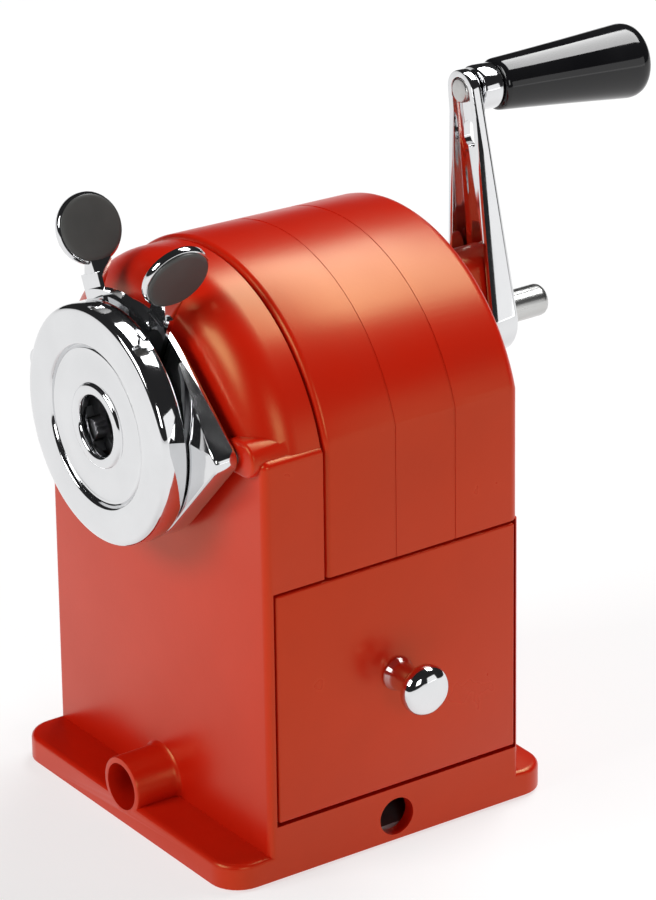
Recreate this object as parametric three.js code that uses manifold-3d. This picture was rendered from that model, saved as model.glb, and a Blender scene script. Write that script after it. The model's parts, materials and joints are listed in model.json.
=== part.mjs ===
import * as THREE from "three";
import { mergeVertices } from "three/addons/utils/BufferGeometryUtils.js";
import Module from "manifold-3d";

// A hand-cranked table pencil sharpener, in millimetres.
// +Z is up, -Y is the side where the pencil goes in, and the shavings drawer opens towards +X.
// The pieces are placed about the middle of the body, and the whole is then moved so that
// the origin is on the table, at the middle of the underside of the object's bounding box.

const wasm = await Module();
wasm.setup();

// Clearances
const slideGap = 0.3; // between pieces that slide on or stand beside each other
const runGap = 0.1; // radial, between a shaft and its bore
const drawerGap = 0.4; // around the drawer's front

// Body casting
const bodyWidth = 72;
const bodyLength = 56.8;
const wall = 2.5;
const footProud = 0.6;
const flangeThickness = 5;
const frontFlange = 9.2;
const rearFlange = 7.4;
const flangeCorner = 6;
const bodyCorner = 1.5;
const floorThickness = 2;
const drawerBottomHeight = 11.2; // above the underside of the casting
const drawerTopHeight = 57.6;
const archCentreHeight = 74;
const archRadius = bodyWidth / 2 + 1.4;
const archRearRadius = archRadius - 1.8;
const seamFromFront = 12.8;
const seamStep = 0.8;
const domeCorner = 8.5;
const shoulderHeight = 84;

// Clamp-rod sockets in the base
const bossHeight = 7.4;
const bossRadius = 6;
const bossBore = 4.7;
const bossNeckBore = 2.6;
const sideHoleHeight = 4.8;
const sideHoleRadius = 3.75;

// Pencil axis, guide rods and their lugs
const axisAboveBase = 82;
const pencilRadius = 5.8;
const guideSpread = 28.5;
const guideAboveAxis = 1.5;
const guideRodRadius = 1.6;
const lugRadius = 4.1;
const lugProud = 1.5;
const rodHeadRadius = 2.1;
const rodHeadDepth = 0.7;

// Base plate and feet
const plateThickness = 1.2;
const plateRecess = 0.6;
const footRadius = 4;
const footDepth = 1.5;
const footInset = 7;

// Drawer
const drawerPanel = 2.4;
const traySheet = 1;
const trayHeight = 42;
const knobHeight = 34.5;
const knobHeadRadius = 4.9;
const knobStemRadius = 2.7;
const knobReach = 11.2;

// Front carriage
const carriageGap = 0.5;
const plateDepth = 5;
const plateWall = 1.6;
const plateSheet = 0.8; // the front of the plate, round the disc's seat
const discSeatRadius = 21.2;
const plateRadius = 22.5;
const earRadius = 2.6;
const discRadius = 22.7;
const discDepth = 5.3;
const discWall = 1.3;
const ringStepRadius = 15.1;
const hubRingRadius = 8.7;
const slotHalfWidth = 16;
const slotAboveAxis = 15.5;
const carriageTravel = 28;

// Pinch levers and jaws
const leverAngle = 24;
const leverReach = archRadius - 2.4;
const leverSheet = 0.9;
const padSetBack = 1;
const leverPadRadius = 6.7;
const leverPadThickness = 1.6;
const padCapRadius = 5.9;
const padCapThickness = 0.5;
const jawCount = 3;
const jawTipRadius = 3.9;
const jawLength = 5;
const jawWidth = 4;
const jawThickness = 2.6;

// Cutter head
const coneHalfAngle = 11;
const tipFromFrontFace = 40.4; // where the sharpened point ends, behind the front face
const cutterRadius = 6.5;
const cutterBlades = 12;
const cutterTwist = 60;
const axleRadius = 1.5;
const gearModule = 1;
const pinionTeeth = 11;
const ringTeeth = 35;
const pinionWidth = 3.2;
const ringRim = 3;
const carrierRadius = 19;
const carrierDisc = 2;
const spindleRadius = 4;
const bushWall = 1.6;

// Crank
const bearingReach = 9;
const bearingRadius = 9.5;
const hubLength = 10.6;
const hubRadius = 5.7;
const hubLobe = 14;
const armSheet = 1.4;
const armBottomRadius = 7.4;
const armTopRadius = 4;
const armRadiusOfTurn = 43.3;
const armFlangeBottom = 5.9;
const armFlangeTop = 1.2;
const armLean = -10.7;
const spindleEnd = 10.5;
const ferruleLength = 4.4;
const ferruleRadius = 4.6;
const gripLength = 33.3;
const gripNarrow = 5.1;
const gripWide = 7.6;
const gripEndRound = 3;
const gripCrown = 0.4;
const handlePinRadius = 2;
const handleTilt = 3.6;
const handleGap = 0.3;

// Places worked out from the sizes above
const halfWidth = bodyWidth / 2;
const frontY = -bodyLength / 2;
const rearY = bodyLength / 2;
const baseBottom = footProud;
const flangeTop = baseBottom + flangeThickness;
const axisHeight = baseBottom + axisAboveBase;
const archCentre = baseBottom + archCentreHeight;
const drawerBottom = baseBottom + drawerBottomHeight;
const drawerTop = baseBottom + drawerTopHeight;
const seamY = frontY + seamFromFront;
const shoulder = baseBottom + shoulderHeight;
const coverBottom = drawerTop + drawerGap;
const innerHalfWidth = halfWidth - wall;
const guideHeight = axisHeight + guideAboveAxis;
const guideRodRear = rearY - wall - 2.5;
const plateRearY = frontY - lugProud - carriageGap;
const plateFrontY = plateRearY - plateDepth;
const discRearY = plateFrontY - slideGap;
const discFrontY = discRearY - discDepth;
const bearingEndY = rearY + bearingReach;
const hubFrontY = bearingEndY + slideGap;
const armFrontY = hubFrontY + hubLength;
const armRearY = armFrontY + armSheet;

const X = new THREE.Vector3(1, 0, 0);
const Y = new THREE.Vector3(0, 1, 0);
const Z = new THREE.Vector3(0, 0, 1);
const degree = Math.PI / 180;

// A closed three.js geometry as a solid that can be cut and joined.
function solid(geometry) {
  const bare = geometry.index ? geometry.toNonIndexed() : geometry.clone();
  bare.deleteAttribute("normal");
  bare.deleteAttribute("uv");
  const merged = mergeVertices(bare, 1e-4);
  const triVerts = new Uint32Array(merged.index.array);
  const vertProperties = merged.attributes.position.array;
  const made = new wasm.Manifold(new wasm.Mesh({ numProp: 3, vertProperties, triVerts }));
  if (made.volume() > 0) return made;
  for (let i = 0; i < triVerts.length; i += 3) {
    [triVerts[i + 1], triVerts[i + 2]] = [triVerts[i + 2], triVerts[i + 1]];
  }
  return new wasm.Manifold(new wasm.Mesh({ numProp: 3, vertProperties, triVerts }));
}

function join(first, ...others) {
  return others.reduce((sum, other) => sum.add(other), first);
}

function cut(first, ...others) {
  return others.reduce((rest, other) => rest.subtract(other), first);
}

function geometryOf(made) {
  const mesh = made.getMesh();
  const stride = mesh.numProp;
  const positions = new Float32Array(mesh.numVert * 3);
  for (let i = 0; i < mesh.numVert; i++) {
    positions.set(mesh.vertProperties.subarray(i * stride, i * stride + 3), i * 3);
  }
  const geometry = new THREE.BufferGeometry();
  geometry.setAttribute("position", new THREE.BufferAttribute(positions, 3));
  geometry.setIndex(new THREE.BufferAttribute(new Uint32Array(mesh.triVerts), 1));
  return geometry;
}

// Outline drawn in (x, z) and extruded from y = from to y = to.
function alongY(outline, from, to, curveSegments = 8) {
  const geometry = new THREE.ExtrudeGeometry(outline, { depth: to - from, bevelEnabled: false, curveSegments });
  geometry.applyMatrix4(new THREE.Matrix4().makeBasis(X, Z, Y.clone().negate()));
  return solid(geometry.translate(0, to, 0));
}

// Outline drawn in (y, z) and extruded from x = from to x = to.
function alongX(outline, from, to, curveSegments = 6) {
  const geometry = new THREE.ExtrudeGeometry(outline, { depth: to - from, bevelEnabled: false, curveSegments });
  geometry.applyMatrix4(new THREE.Matrix4().makeBasis(Y, Z, X));
  return solid(geometry.translate(from, 0, 0));
}

// Outline drawn in (x, y) and extruded from z = from to z = to.
function alongZ(outline, from, to, curveSegments = 6) {
  const geometry = new THREE.ExtrudeGeometry(outline, { depth: to - from, bevelEnabled: false, curveSegments });
  return solid(geometry.translate(0, 0, from));
}

// Box from its lowest to its highest corner.
function block(low, high) {
  const size = high.map((value, i) => value - low[i]);
  const centre = high.map((value, i) => (value + low[i]) / 2);
  return solid(new THREE.BoxGeometry(...size).translate(...centre));
}

// Profile of [radius, y] pairs turned about the line through (x, z) that runs along Y.
function turnedY(profile, x, z, segments = 24) {
  const points = profile.map(([radius, y]) => new THREE.Vector2(radius, y));
  return solid(new THREE.LatheGeometry(points, segments).translate(x, 0, z));
}

// Round bar or bore along Y.
function roundY(radius, from, to, x, z, segments = 16) {
  return turnedY([[0, from], [radius, from], [radius, to], [0, to]], x, z, segments);
}

// Profile of [radius, x] pairs turned about the line through (y, z) that runs along X.
function turnedX(profile, y, z, segments = 16) {
  const points = profile.map(([radius, x]) => new THREE.Vector2(radius, x));
  const geometry = new THREE.LatheGeometry(points, segments);
  geometry.applyMatrix4(new THREE.Matrix4().makeBasis(Y, X, Z.clone().negate()));
  return solid(geometry.translate(0, y, z));
}

// Profile of [radius, z] pairs turned about the line through (x, y) that runs along Z.
function turnedZ(profile, x, y, segments = 12) {
  const points = profile.map(([radius, z]) => new THREE.Vector2(radius, z));
  const geometry = new THREE.LatheGeometry(points, segments);
  geometry.applyMatrix4(new THREE.Matrix4().makeBasis(X, Z, Y.clone().negate()));
  return solid(geometry.translate(x, y, 0));
}

function roundZ(radius, from, to, x, y, segments = 12) {
  return turnedZ([[0, from], [radius, from], [radius, to], [0, to]], x, y, segments);
}

function rectangle(left, bottom, right, top, corner) {
  const shape = new THREE.Shape();
  shape.moveTo(left + corner, bottom);
  shape.lineTo(right - corner, bottom);
  shape.absarc(right - corner, bottom + corner, corner, -Math.PI / 2, 0);
  shape.lineTo(right, top - corner);
  shape.absarc(right - corner, top - corner, corner, 0, Math.PI / 2);
  shape.lineTo(left + corner, top);
  shape.absarc(left + corner, top - corner, corner, Math.PI / 2, Math.PI);
  shape.lineTo(left, bottom + corner);
  shape.absarc(left + corner, bottom + corner, corner, Math.PI, Math.PI * 1.5);
  return shape;
}

// Upright walls closed by an arch: the section of the cover.
function archOutline(half, bottom, radius) {
  const spring = Math.asin(Math.sqrt(radius * radius - half * half) / radius);
  const shape = new THREE.Shape();
  shape.moveTo(-half, bottom);
  shape.lineTo(half, bottom);
  shape.lineTo(half, archCentre + radius * Math.sin(spring));
  shape.absarc(0, archCentre, radius, spring, Math.PI - spring);
  shape.lineTo(-half, bottom);
  return shape;
}

// Two circles and their outer tangents, the first round (0, 0) and the second round (0, length).
function taperedOutline(bottomRadius, topRadius, length) {
  const lean = Math.asin((bottomRadius - topRadius) / length);
  const shape = new THREE.Shape();
  shape.absarc(0, 0, bottomRadius, Math.PI - lean, 2 * Math.PI + lean);
  shape.absarc(0, length, topRadius, lean, Math.PI - lean);
  shape.closePath();
  return shape;
}

// Spur gear outline about the origin, with a tooth centred on the angle first.
function gearOutline(teeth, tipRadius, rootRadius, rootHalf, tipHalf, first) {
  const places = [];
  const corners = [[-rootHalf, rootRadius], [-tipHalf, tipRadius], [tipHalf, tipRadius], [rootHalf, rootRadius]];
  for (let tooth = 0; tooth < teeth; tooth++) {
    for (const [offset, radius] of corners) {
      const angle = first + ((tooth + offset) * 2 * Math.PI) / teeth;
      places.push(new THREE.Vector2(radius * Math.cos(angle), radius * Math.sin(angle)));
    }
  }
  return new THREE.Shape(places);
}

function finish(color, roughness, metalness) {
  return { color, roughness, metalness };
}
const redPaint = finish(0xb5210f, 0.35, 0.0);
const chrome = finish(0xe8e8ea, 0.08, 1.0);
const steel = finish(0xa8a8a6, 0.3, 1.0);
const hardenedSteel = finish(0x6f6f72, 0.35, 1.0);
const castZinc = finish(0x8f9092, 0.5, 1.0);
const brass = finish(0xb08d45, 0.35, 1.0);
const blackPlastic = finish(0x0b0b0c, 0.15, 0.0);
const darkCap = finish(0x3d3d3a, 0.5, 0.0);
const rubber = finish(0x1c1c1c, 0.9, 0.0);

const sharpener = new THREE.Group();

function piece(name, made, look, parent = sharpener) {
  const material = new THREE.MeshStandardMaterial(look);
  const mesh = new THREE.Mesh(geometryOf(made), material);
  mesh.name = name;
  parent.add(mesh);
  return mesh;
}

// ---- Body casting: base, walls and the domed front ----
function domeSolid(radius, front, back, corner) {
  const profile = [[0, back], [radius, back]];
  const steps = 3;
  for (let i = 0; i <= steps; i++) {
    const turn = (i / steps) * (Math.PI / 2);
    profile.push([radius - corner + corner * Math.cos(turn), front + corner - corner * Math.sin(turn)]);
  }
  profile.push([0, front]);
  return turnedY(profile, 0, archCentre, 40);
}

const domeRadius = archRadius - seamStep;
const screwPosts = [[-1, -1], [1, -1], [-1, 1], [1, 1]];
const postInsetX = 5;
const postInsetY = 5;
const postRadius = 3;
const baseScrewRadius = 1.3;
const baseScrewHead = 2.6;

function postPlace([side, end]) {
  return [side * (innerHalfWidth - postInsetX), end * (rearY - wall - postInsetY)];
}

function footPlace([side, end]) {
  const y = end < 0 ? frontY - frontFlange + footInset : rearY + rearFlange - footInset + 1;
  return [side * (halfWidth - footInset), y];
}

const cavityTop = drawerBottom - drawerGap - floorThickness;
const plateTop = baseBottom + plateRecess + plateThickness;

function housing() {
  const flange = alongZ(
    rectangle(-halfWidth, frontY - frontFlange, halfWidth, rearY + rearFlange, flangeCorner),
    baseBottom, flangeTop, 6,
  );
  const walls = alongZ(rectangle(-halfWidth, frontY, halfWidth, rearY, bodyCorner), baseBottom, coverBottom, 3);
  const frontWalls = alongZ(rectangle(-halfWidth, frontY, halfWidth, rearY, bodyCorner), baseBottom, shoulder, 3);
  const frontZone = block([-halfWidth, frontY, baseBottom], [halfWidth, seamY, shoulder + archRadius]);
  const domeZone = block([-halfWidth, frontY, coverBottom], [halfWidth, seamY, archCentre + archRadius]);
  const dome = domeSolid(domeRadius, frontY, seamY + wall, domeCorner).intersect(domeZone);
  let body = join(flange, walls, frontWalls.intersect(frontZone), dome);

  // Tubular lugs for the guide rods stand on the shoulders.
  for (const side of [-1, 1]) {
    const lug = turnedY([
      [0, frontY - lugProud],
      [lugRadius, frontY - lugProud],
      [lugRadius, seamY],
      [0, seamY],
    ], side * guideSpread, guideHeight, 16);
    body = body.add(lug);
  }

  // Clamp-rod socket on the front flange.
  const boss = turnedY([
    [0, frontY - frontFlange],
    [bossRadius, frontY - frontFlange],
    [bossRadius + 0.8, frontY + wall / 2],
    [0, frontY + wall / 2],
  ], 0, baseBottom + bossHeight, 20);
  body = body.add(boss.intersect(block(
    [-halfWidth, frontY - frontFlange, baseBottom],
    [halfWidth, rearY, axisHeight],
  )));

  // Room for the cutter head above, for the drawer below it, and the hollow base.
  const cutterRoom = domeSolid(domeRadius - wall, frontY + wall, seamY + 1, domeCorner - wall)
    .intersect(block(
      [-innerHalfWidth, frontY, coverBottom - 1],
      [innerHalfWidth, seamY + 1, archCentre + archRadius],
    ));
  const frontRoom = block(
    [-innerHalfWidth, frontY + wall, drawerBottom - drawerGap],
    [innerHalfWidth, seamY + 1, shoulder - wall],
  );
  const drawerRoom = block(
    [-innerHalfWidth, frontY + wall, drawerBottom - drawerGap],
    [innerHalfWidth, rearY - wall, coverBottom + 1],
  );
  const drawerMouth = block(
    [innerHalfWidth - 1, frontY + wall + slideGap, drawerBottom - drawerGap],
    [halfWidth + 1, rearY - wall - slideGap, coverBottom],
  );
  const panelRebate = block(
    [halfWidth - drawerPanel - slideGap, frontY + drawerEdge, drawerBottom - drawerGap],
    [halfWidth + 1, rearY - drawerEdgeRear, coverBottom],
  );
  const baseRoom = block(
    [-innerHalfWidth, frontY + wall, baseBottom - 1],
    [innerHalfWidth, rearY - wall, cavityTop],
  );
  body = cut(body, cutterRoom, frontRoom, drawerRoom, drawerMouth, panelRebate, baseRoom);

  for (const place of screwPosts) {
    const [x, y] = postPlace(place);
    body = body.add(roundZ(postRadius, plateTop, cavityTop + 0.5, x, y));
    body = body.subtract(roundZ(baseScrewRadius + runGap, plateTop - 1, cavityTop - 1, x, y));
    const [footX, footY] = footPlace(place);
    body = body.subtract(roundZ(footRadius + runGap, baseBottom - 1, baseBottom + footDepth, footX, footY, 16));
  }

  // Bores: clamp rod, side hole, pencil guide, guide rods, ring gear screws.
  const bossAxis = baseBottom + bossHeight;
  const sideAxis = baseBottom + sideHoleHeight;
  body = cut(
    body,
    roundY(bossBore, frontY - frontFlange - 1, frontY + 0.6, 0, bossAxis),
    roundY(bossNeckBore, frontY, frontY + wall + 1, 0, bossAxis - 1.2, 16),
    turnedX([
      [0, innerHalfWidth - 1],
      [sideHoleRadius, innerHalfWidth - 1],
      [sideHoleRadius, halfWidth + 1],
      [0, halfWidth + 1],
    ], 0, sideAxis),
    roundY(guideTubeRadius + runGap, frontY - 1, frontY + wall + 1, 0, axisHeight, 24),
  );
  for (const side of [-1, 1]) {
    body = body.subtract(
      roundY(guideRodRadius + runGap, frontY - lugProud - 1, seamY + 1, side * guideSpread, guideHeight, 16),
    );
  }
  for (const angle of ringScrewAngles) {
    const [x, z] = ringScrewPlace(angle);
    body = body.subtract(roundY(ringScrewRadius + runGap, frontY + 0.6, frontY + wall + 1, x, z, 12));
  }
  return body;
}

const drawerEdge = 1.6; // casting left beside the drawer's front, at the front corner
const drawerEdgeRear = 0.8;
const guideTubeRadius = 8;
const ringScrewRadius = 1;
const ringScrewCircle = 24.4;
const ringScrewAngles = [200, 270, 340];

function ringScrewPlace(angle) {
  return [ringScrewCircle * Math.cos(angle * degree), axisHeight + ringScrewCircle * Math.sin(angle * degree)];
}

piece("housing", housing(), redPaint);

// ---- Arched cover, from the seam to the back ----
const coverWall = 2.2;
const coverFrontY = seamY + slideGap;
const coverGrooves = [15.6, 29]; // behind the seam
const grooveWidth = 0.5;
const grooveDepth = 0.3;
const rearScrewAngles = [35, 90, 145];
const rearScrewCircle = archRadius - 8.4;
const rearScrewRadius = 1.3;
const rearPlateThickness = 2;

function rearScrewPlace(angle) {
  return [rearScrewCircle * Math.cos(angle * degree), archCentre + rearScrewCircle * Math.sin(angle * degree)];
}

// Arch whose roof gets lower towards the back, with the same upright walls.
function taperedArch(half, bottom, radius, from, to) {
  const geometry = new THREE.ExtrudeGeometry(archOutline(half, bottom, radius), {
    depth: to - from, bevelEnabled: false, curveSegments: 14,
  });
  geometry.applyMatrix4(new THREE.Matrix4().makeBasis(X, Z, Y.clone().negate()));
  geometry.translate(0, to, 0);
  const spring = archCentre + Math.sqrt(radius * radius - half * half);
  const drop = (archRadius - archRearRadius) / (rearY - seamY);
  const place = geometry.attributes.position;
  for (let i = 0; i < place.count; i++) {
    const rise = Math.max(place.getZ(i) - spring, 0) / (archCentre + radius - spring);
    place.setZ(i, place.getZ(i) - rise * drop * Math.max(place.getY(i) - seamY, 0));
  }
  return solid(geometry);
}

function archCover() {
  let cover = taperedArch(halfWidth, coverBottom, archRadius, coverFrontY, rearY);
  cover = cover.subtract(
    taperedArch(halfWidth - coverWall, coverBottom - 1, archRadius - coverWall, coverFrontY - 1, rearY + 1),
  );
  for (const distance of coverGrooves) {
    const middle = seamY + distance;
    const ring = cut(
      taperedArch(halfWidth + 1, coverBottom - 1, archRadius + 1, middle - grooveWidth / 2, middle + grooveWidth / 2),
      taperedArch(halfWidth - grooveDepth, coverBottom - 2, archRadius - grooveDepth, middle - 1, middle + 1),
    );
    cover = cover.subtract(ring);
  }
  const postFront = rearY - slideGap - rearPlateThickness - 8;
  const postRear = rearY - slideGap - rearPlateThickness - slideGap;
  for (const angle of rearScrewAngles) {
    const [x, z] = rearScrewPlace(angle);
    const lift = [x / rearScrewCircle, (z - archCentre) / rearScrewCircle];
    const outer = [x + lift[0] * 3, z + lift[1] * 3];
    cover = join(
      cover,
      roundY(postRadius, postFront, postRear, x, z, 12),
      roundY(postRadius, postFront, postRear, ...outer, 12),
    );
    cover = cover.subtract(roundY(rearScrewRadius + runGap, postFront + 1, postRear + 1, x, z, 12));
  }
  return cover.intersect(taperedArch(halfWidth, coverBottom, archRadius, coverFrontY, rearY));
}

piece("arch_cover", archCover(), redPaint);

// ---- Rear plate with the spindle bearing ----
const bushRadius = spindleRadius + bushWall;

function rearPlate() {
  const rear = rearY - slideGap;
  const front = rear - rearPlateThickness;
  const inset = coverWall + slideGap;
  let plate = taperedArch(halfWidth - inset, coverBottom + slideGap, archRadius - inset, front, rear);
  plate = plate.add(turnedY([
    [0, front - 2],
    [bearingRadius + 1.5, front - 2],
    [bearingRadius + 1.5, rear + 1.5],
    [bearingRadius, rear + 3],
    [bearingRadius - 0.6, bearingEndY],
    [0, bearingEndY],
  ], 0, axisHeight, 24));
  plate = plate.subtract(roundY(bushRadius + runGap, front - 3, bearingEndY + 1, 0, axisHeight));
  for (const angle of rearScrewAngles) {
    const [x, z] = rearScrewPlace(angle);
    plate = plate.subtract(roundY(rearScrewRadius + runGap, front - 1, rear + 1, x, z, 12));
  }
  return plate;
}

piece("rear_plate", rearPlate(), redPaint);
piece("shaft_bush", turnedY([
  [spindleRadius + runGap, rearY - 5],
  [bushRadius + 2, rearY - 5],
  [bushRadius + 2, rearY - 4.4],
  [bushRadius, rearY - 4.4],
  [bushRadius, bearingEndY - 0.2],
  [spindleRadius + runGap, bearingEndY - 0.2],
  [spindleRadius + runGap, rearY - 5],
], 0, axisHeight), brass);

function screwY(headRadius, shankRadius, headTop, headUnder, shankEnd, x, z) {
  const shape = turnedY([
    [0, shankEnd],
    [shankRadius, shankEnd],
    [shankRadius, headUnder],
    [headRadius, headUnder],
    [headRadius * 0.8, headTop],
    [0, headTop],
  ], x, z, 12);
  const low = Math.min(headTop, headUnder);
  const high = Math.max(headTop, headUnder);
  const outward = Math.sign(headTop - headUnder);
  const slotFloor = headTop - outward * (high - low) * 0.5;
  const ends = [slotFloor, headTop + outward].sort((a, b) => a - b);
  return shape.subtract(block([x - headRadius, ends[0], z - 0.3], [x + headRadius, ends[1], z + 0.3]));
}

rearScrewAngles.forEach((angle, index) => {
  const [x, z] = rearScrewPlace(angle);
  const under = rearY - slideGap + 0.05;
  piece(`rear_screw_${index + 1}`, screwY(2.5, rearScrewRadius, under + 1.5, under, under - 8, x, z), steel);
});

// ---- Pencil guide and ring gear behind the front face ----
piece("pencil_guide", turnedY([
  [pencilRadius, frontY - 0.8],
  [guideTubeRadius, frontY - 0.8],
  [guideTubeRadius, frontY + wall + 2],
  [guideTubeRadius - 1, frontY + wall + 4],
  [pencilRadius, frontY + wall + 4],
  [pencilRadius, frontY - 0.8],
], 0, axisHeight), castZinc);

const tipY = frontY + tipFromFrontFace;
const cutterOffset = cutterRadius / Math.cos(coneHalfAngle * degree);
const gearDistance = (gearModule * (ringTeeth - pinionTeeth)) / 2;
const pinionY = tipY - (gearDistance - cutterOffset) / Math.tan(coneHalfAngle * degree);
const ringPitch = (gearModule * ringTeeth) / 2;
const pinionPitch = (gearModule * pinionTeeth) / 2;
const addendum = 0.6;
const dedendum = 1.2;
const ringFrontY = frontY + wall + slideGap;
const ringRearY = pinionY + pinionWidth / 2 + 0.4;
const ringToothFrontY = pinionY - pinionWidth / 2 - 0.8;
const ringStandoff = 1.2;
const ringEarRadius = 3.2;
const ringEarDepth = 2.8;

function ringGear() {
  const outer = ringPitch + dedendum + ringRim;
  let ring = roundY(outer, ringFrontY + ringStandoff, ringRearY, 0, axisHeight, 28);
  for (const angle of ringScrewAngles) {
    ring = ring.add(roundY(ringEarRadius, ringFrontY, ringFrontY + ringEarDepth, ...ringScrewPlace(angle), 12));
  }
  ring = ring.subtract(roundY(ringPitch + dedendum, ringFrontY - 1, ringToothFrontY, 0, axisHeight, 28));
  // The gap between two ring teeth stands at the top, where the pinion's tooth enters it.
  const space = gearOutline(ringTeeth, ringPitch + dedendum, ringPitch - addendum, 0.34, 0.2, Math.PI / 2);
  ring = ring.subtract(alongY(space, ringToothFrontY - 0.5, ringRearY + 1).translate([0, 0, axisHeight]));
  for (const angle of ringScrewAngles) {
    const [x, z] = ringScrewPlace(angle);
    ring = ring.subtract(roundY(ringScrewRadius + runGap, ringFrontY - 1, ringFrontY + 3, x, z, 12));
    ring = ring.subtract(roundY(2.2, ringFrontY + ringEarDepth, ringRearY + 1, x, z, 12));
  }
  return ring;
}

piece("ring_gear", ringGear(), castZinc);
ringScrewAngles.forEach((angle, index) => {
  const [x, z] = ringScrewPlace(angle);
  const under = ringFrontY + ringEarDepth + 0.05;
  piece(`ring_screw_${index + 1}`, screwY(1.9, ringScrewRadius, under + 1.2, under, frontY + 0.8, x, z), steel);
});

// ---- Base plate, its screws and the rubber feet ----
function basePlate() {
  const edge = slideGap;
  let plate = alongZ(rectangle(
    -innerHalfWidth + edge, frontY + wall + edge, innerHalfWidth - edge, rearY - wall - edge, 2,
  ), baseBottom + plateRecess, plateTop, 3);
  for (const place of screwPosts) {
    const [x, y] = postPlace(place);
    plate = plate.subtract(roundZ(baseScrewRadius + runGap, baseBottom, plateTop + 1, x, y));
  }
  return plate;
}

piece("base_plate", basePlate(), castZinc);
screwPosts.forEach((place, index) => {
  const [x, y] = postPlace(place);
  const under = baseBottom + plateRecess - 0.02;
  let screw = turnedZ([
    [0, baseBottom + 0.1],
    [baseScrewHead, baseBottom + 0.1],
    [baseScrewHead, under],
    [baseScrewRadius, under],
    [baseScrewRadius, cavityTop - 2],
    [0, cavityTop - 2],
  ], x, y, 12);
  screw = screw.subtract(block([x - 3, y - 0.3, 0], [x + 3, y + 0.3, baseBottom + 0.3]));
  piece(`base_screw_${index + 1}`, screw, steel);
  const [footX, footY] = footPlace(place);
  piece(`rubber_foot_${index + 1}`, turnedZ([
    [0, 0],
    [footRadius - 0.4, 0],
    [footRadius, 0.4],
    [footRadius, baseBottom + footDepth - 0.05],
    [0, baseBottom + footDepth - 0.05],
  ], footX, footY, 16), rubber);
});

// ---- Shavings drawer ----
const panelInner = halfWidth - drawerPanel;
const knobY = 0.3;
const knobZ = baseBottom + knobHeight;
const knobScrewRadius = 1.5;
const knobEnd = halfWidth + knobReach;

function drawerFront() {
  const panel = alongX(
    rectangle(frontY + drawerEdge + drawerGap, drawerBottom, rearY - drawerEdgeRear - slideGap, drawerTop, 0.8),
    panelInner, halfWidth, 3,
  );
  return panel.subtract(turnedX([
    [0, panelInner - 1],
    [knobScrewRadius + runGap, panelInner - 1],
    [knobScrewRadius + runGap, halfWidth + 1],
    [0, halfWidth + 1],
  ], knobY, knobZ, 12));
}

function drawerTray() {
  const low = [-innerHalfWidth + 1, frontY + wall + 1, drawerBottom + slideGap];
  const high = [panelInner, rearY - wall - 1, drawerBottom + slideGap + trayHeight];
  const outside = block(low, high);
  const inside = block(
    [low[0] + traySheet, low[1] + traySheet, low[2] + traySheet],
    [high[0] + 1, high[1] - traySheet, high[2] + 1],
  );
  return outside.subtract(inside);
}

piece("drawer_front", drawerFront(), redPaint);
piece("drawer_tray", drawerTray(), castZinc);
piece("drawer_knob", cut(
  turnedX([
    [0, halfWidth],
    [knobStemRadius + 0.5, halfWidth],
    [knobStemRadius, halfWidth + 1],
    [knobStemRadius, knobEnd - 4.6],
    [knobStemRadius + 0.8, knobEnd - 3.8],
    [knobHeadRadius - 0.5, knobEnd - 3.2],
    [knobHeadRadius, knobEnd - 2.4],
    [knobHeadRadius - 0.3, knobEnd - 1.4],
    [knobHeadRadius - 1.6, knobEnd - 0.4],
    [0, knobEnd],
  ], knobY, knobZ, 16),
  turnedX([
    [0, halfWidth - 1],
    [knobScrewRadius + runGap, halfWidth - 1],
    [knobScrewRadius + runGap, halfWidth + 6],
    [0, halfWidth + 6],
  ], knobY, knobZ, 12),
), chrome);
piece("knob_screw", turnedX([
  [0, panelInner - 1.6],
  [2.6, panelInner - 1.6],
  [2.9, panelInner - 0.1],
  [knobScrewRadius, panelInner - 0.1],
  [knobScrewRadius, halfWidth + 5.4],
  [0, halfWidth + 5.4],
], knobY, knobZ, 12), steel);

// ---- Front carriage: plate with ears, face disc, guide rods ----
const earUp = guideAboveAxis;

// Round plate drawn out to a pointed ear on each side, about the pencil axis.
function eyeOutline(radius, ear) {
  const spread = Math.hypot(guideSpread, earUp);
  const tilt = Math.atan2(earUp, guideSpread);
  const open = Math.acos((radius - ear) / spread);
  const at = (angle, r, cx, cz) => [cx + r * Math.cos(angle), cz + r * Math.sin(angle)];
  const shape = new THREE.Shape();
  shape.moveTo(...at(tilt - open, ear, guideSpread, earUp));
  shape.absarc(guideSpread, earUp, ear, tilt - open, tilt + open);
  shape.absarc(0, 0, radius, tilt + open, Math.PI - tilt - open);
  shape.absarc(-guideSpread, earUp, ear, Math.PI - tilt - open, Math.PI - tilt + open);
  shape.absarc(0, 0, radius, Math.PI - tilt + open, 2 * Math.PI + tilt - open);
  shape.closePath();
  return shape;
}

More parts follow.
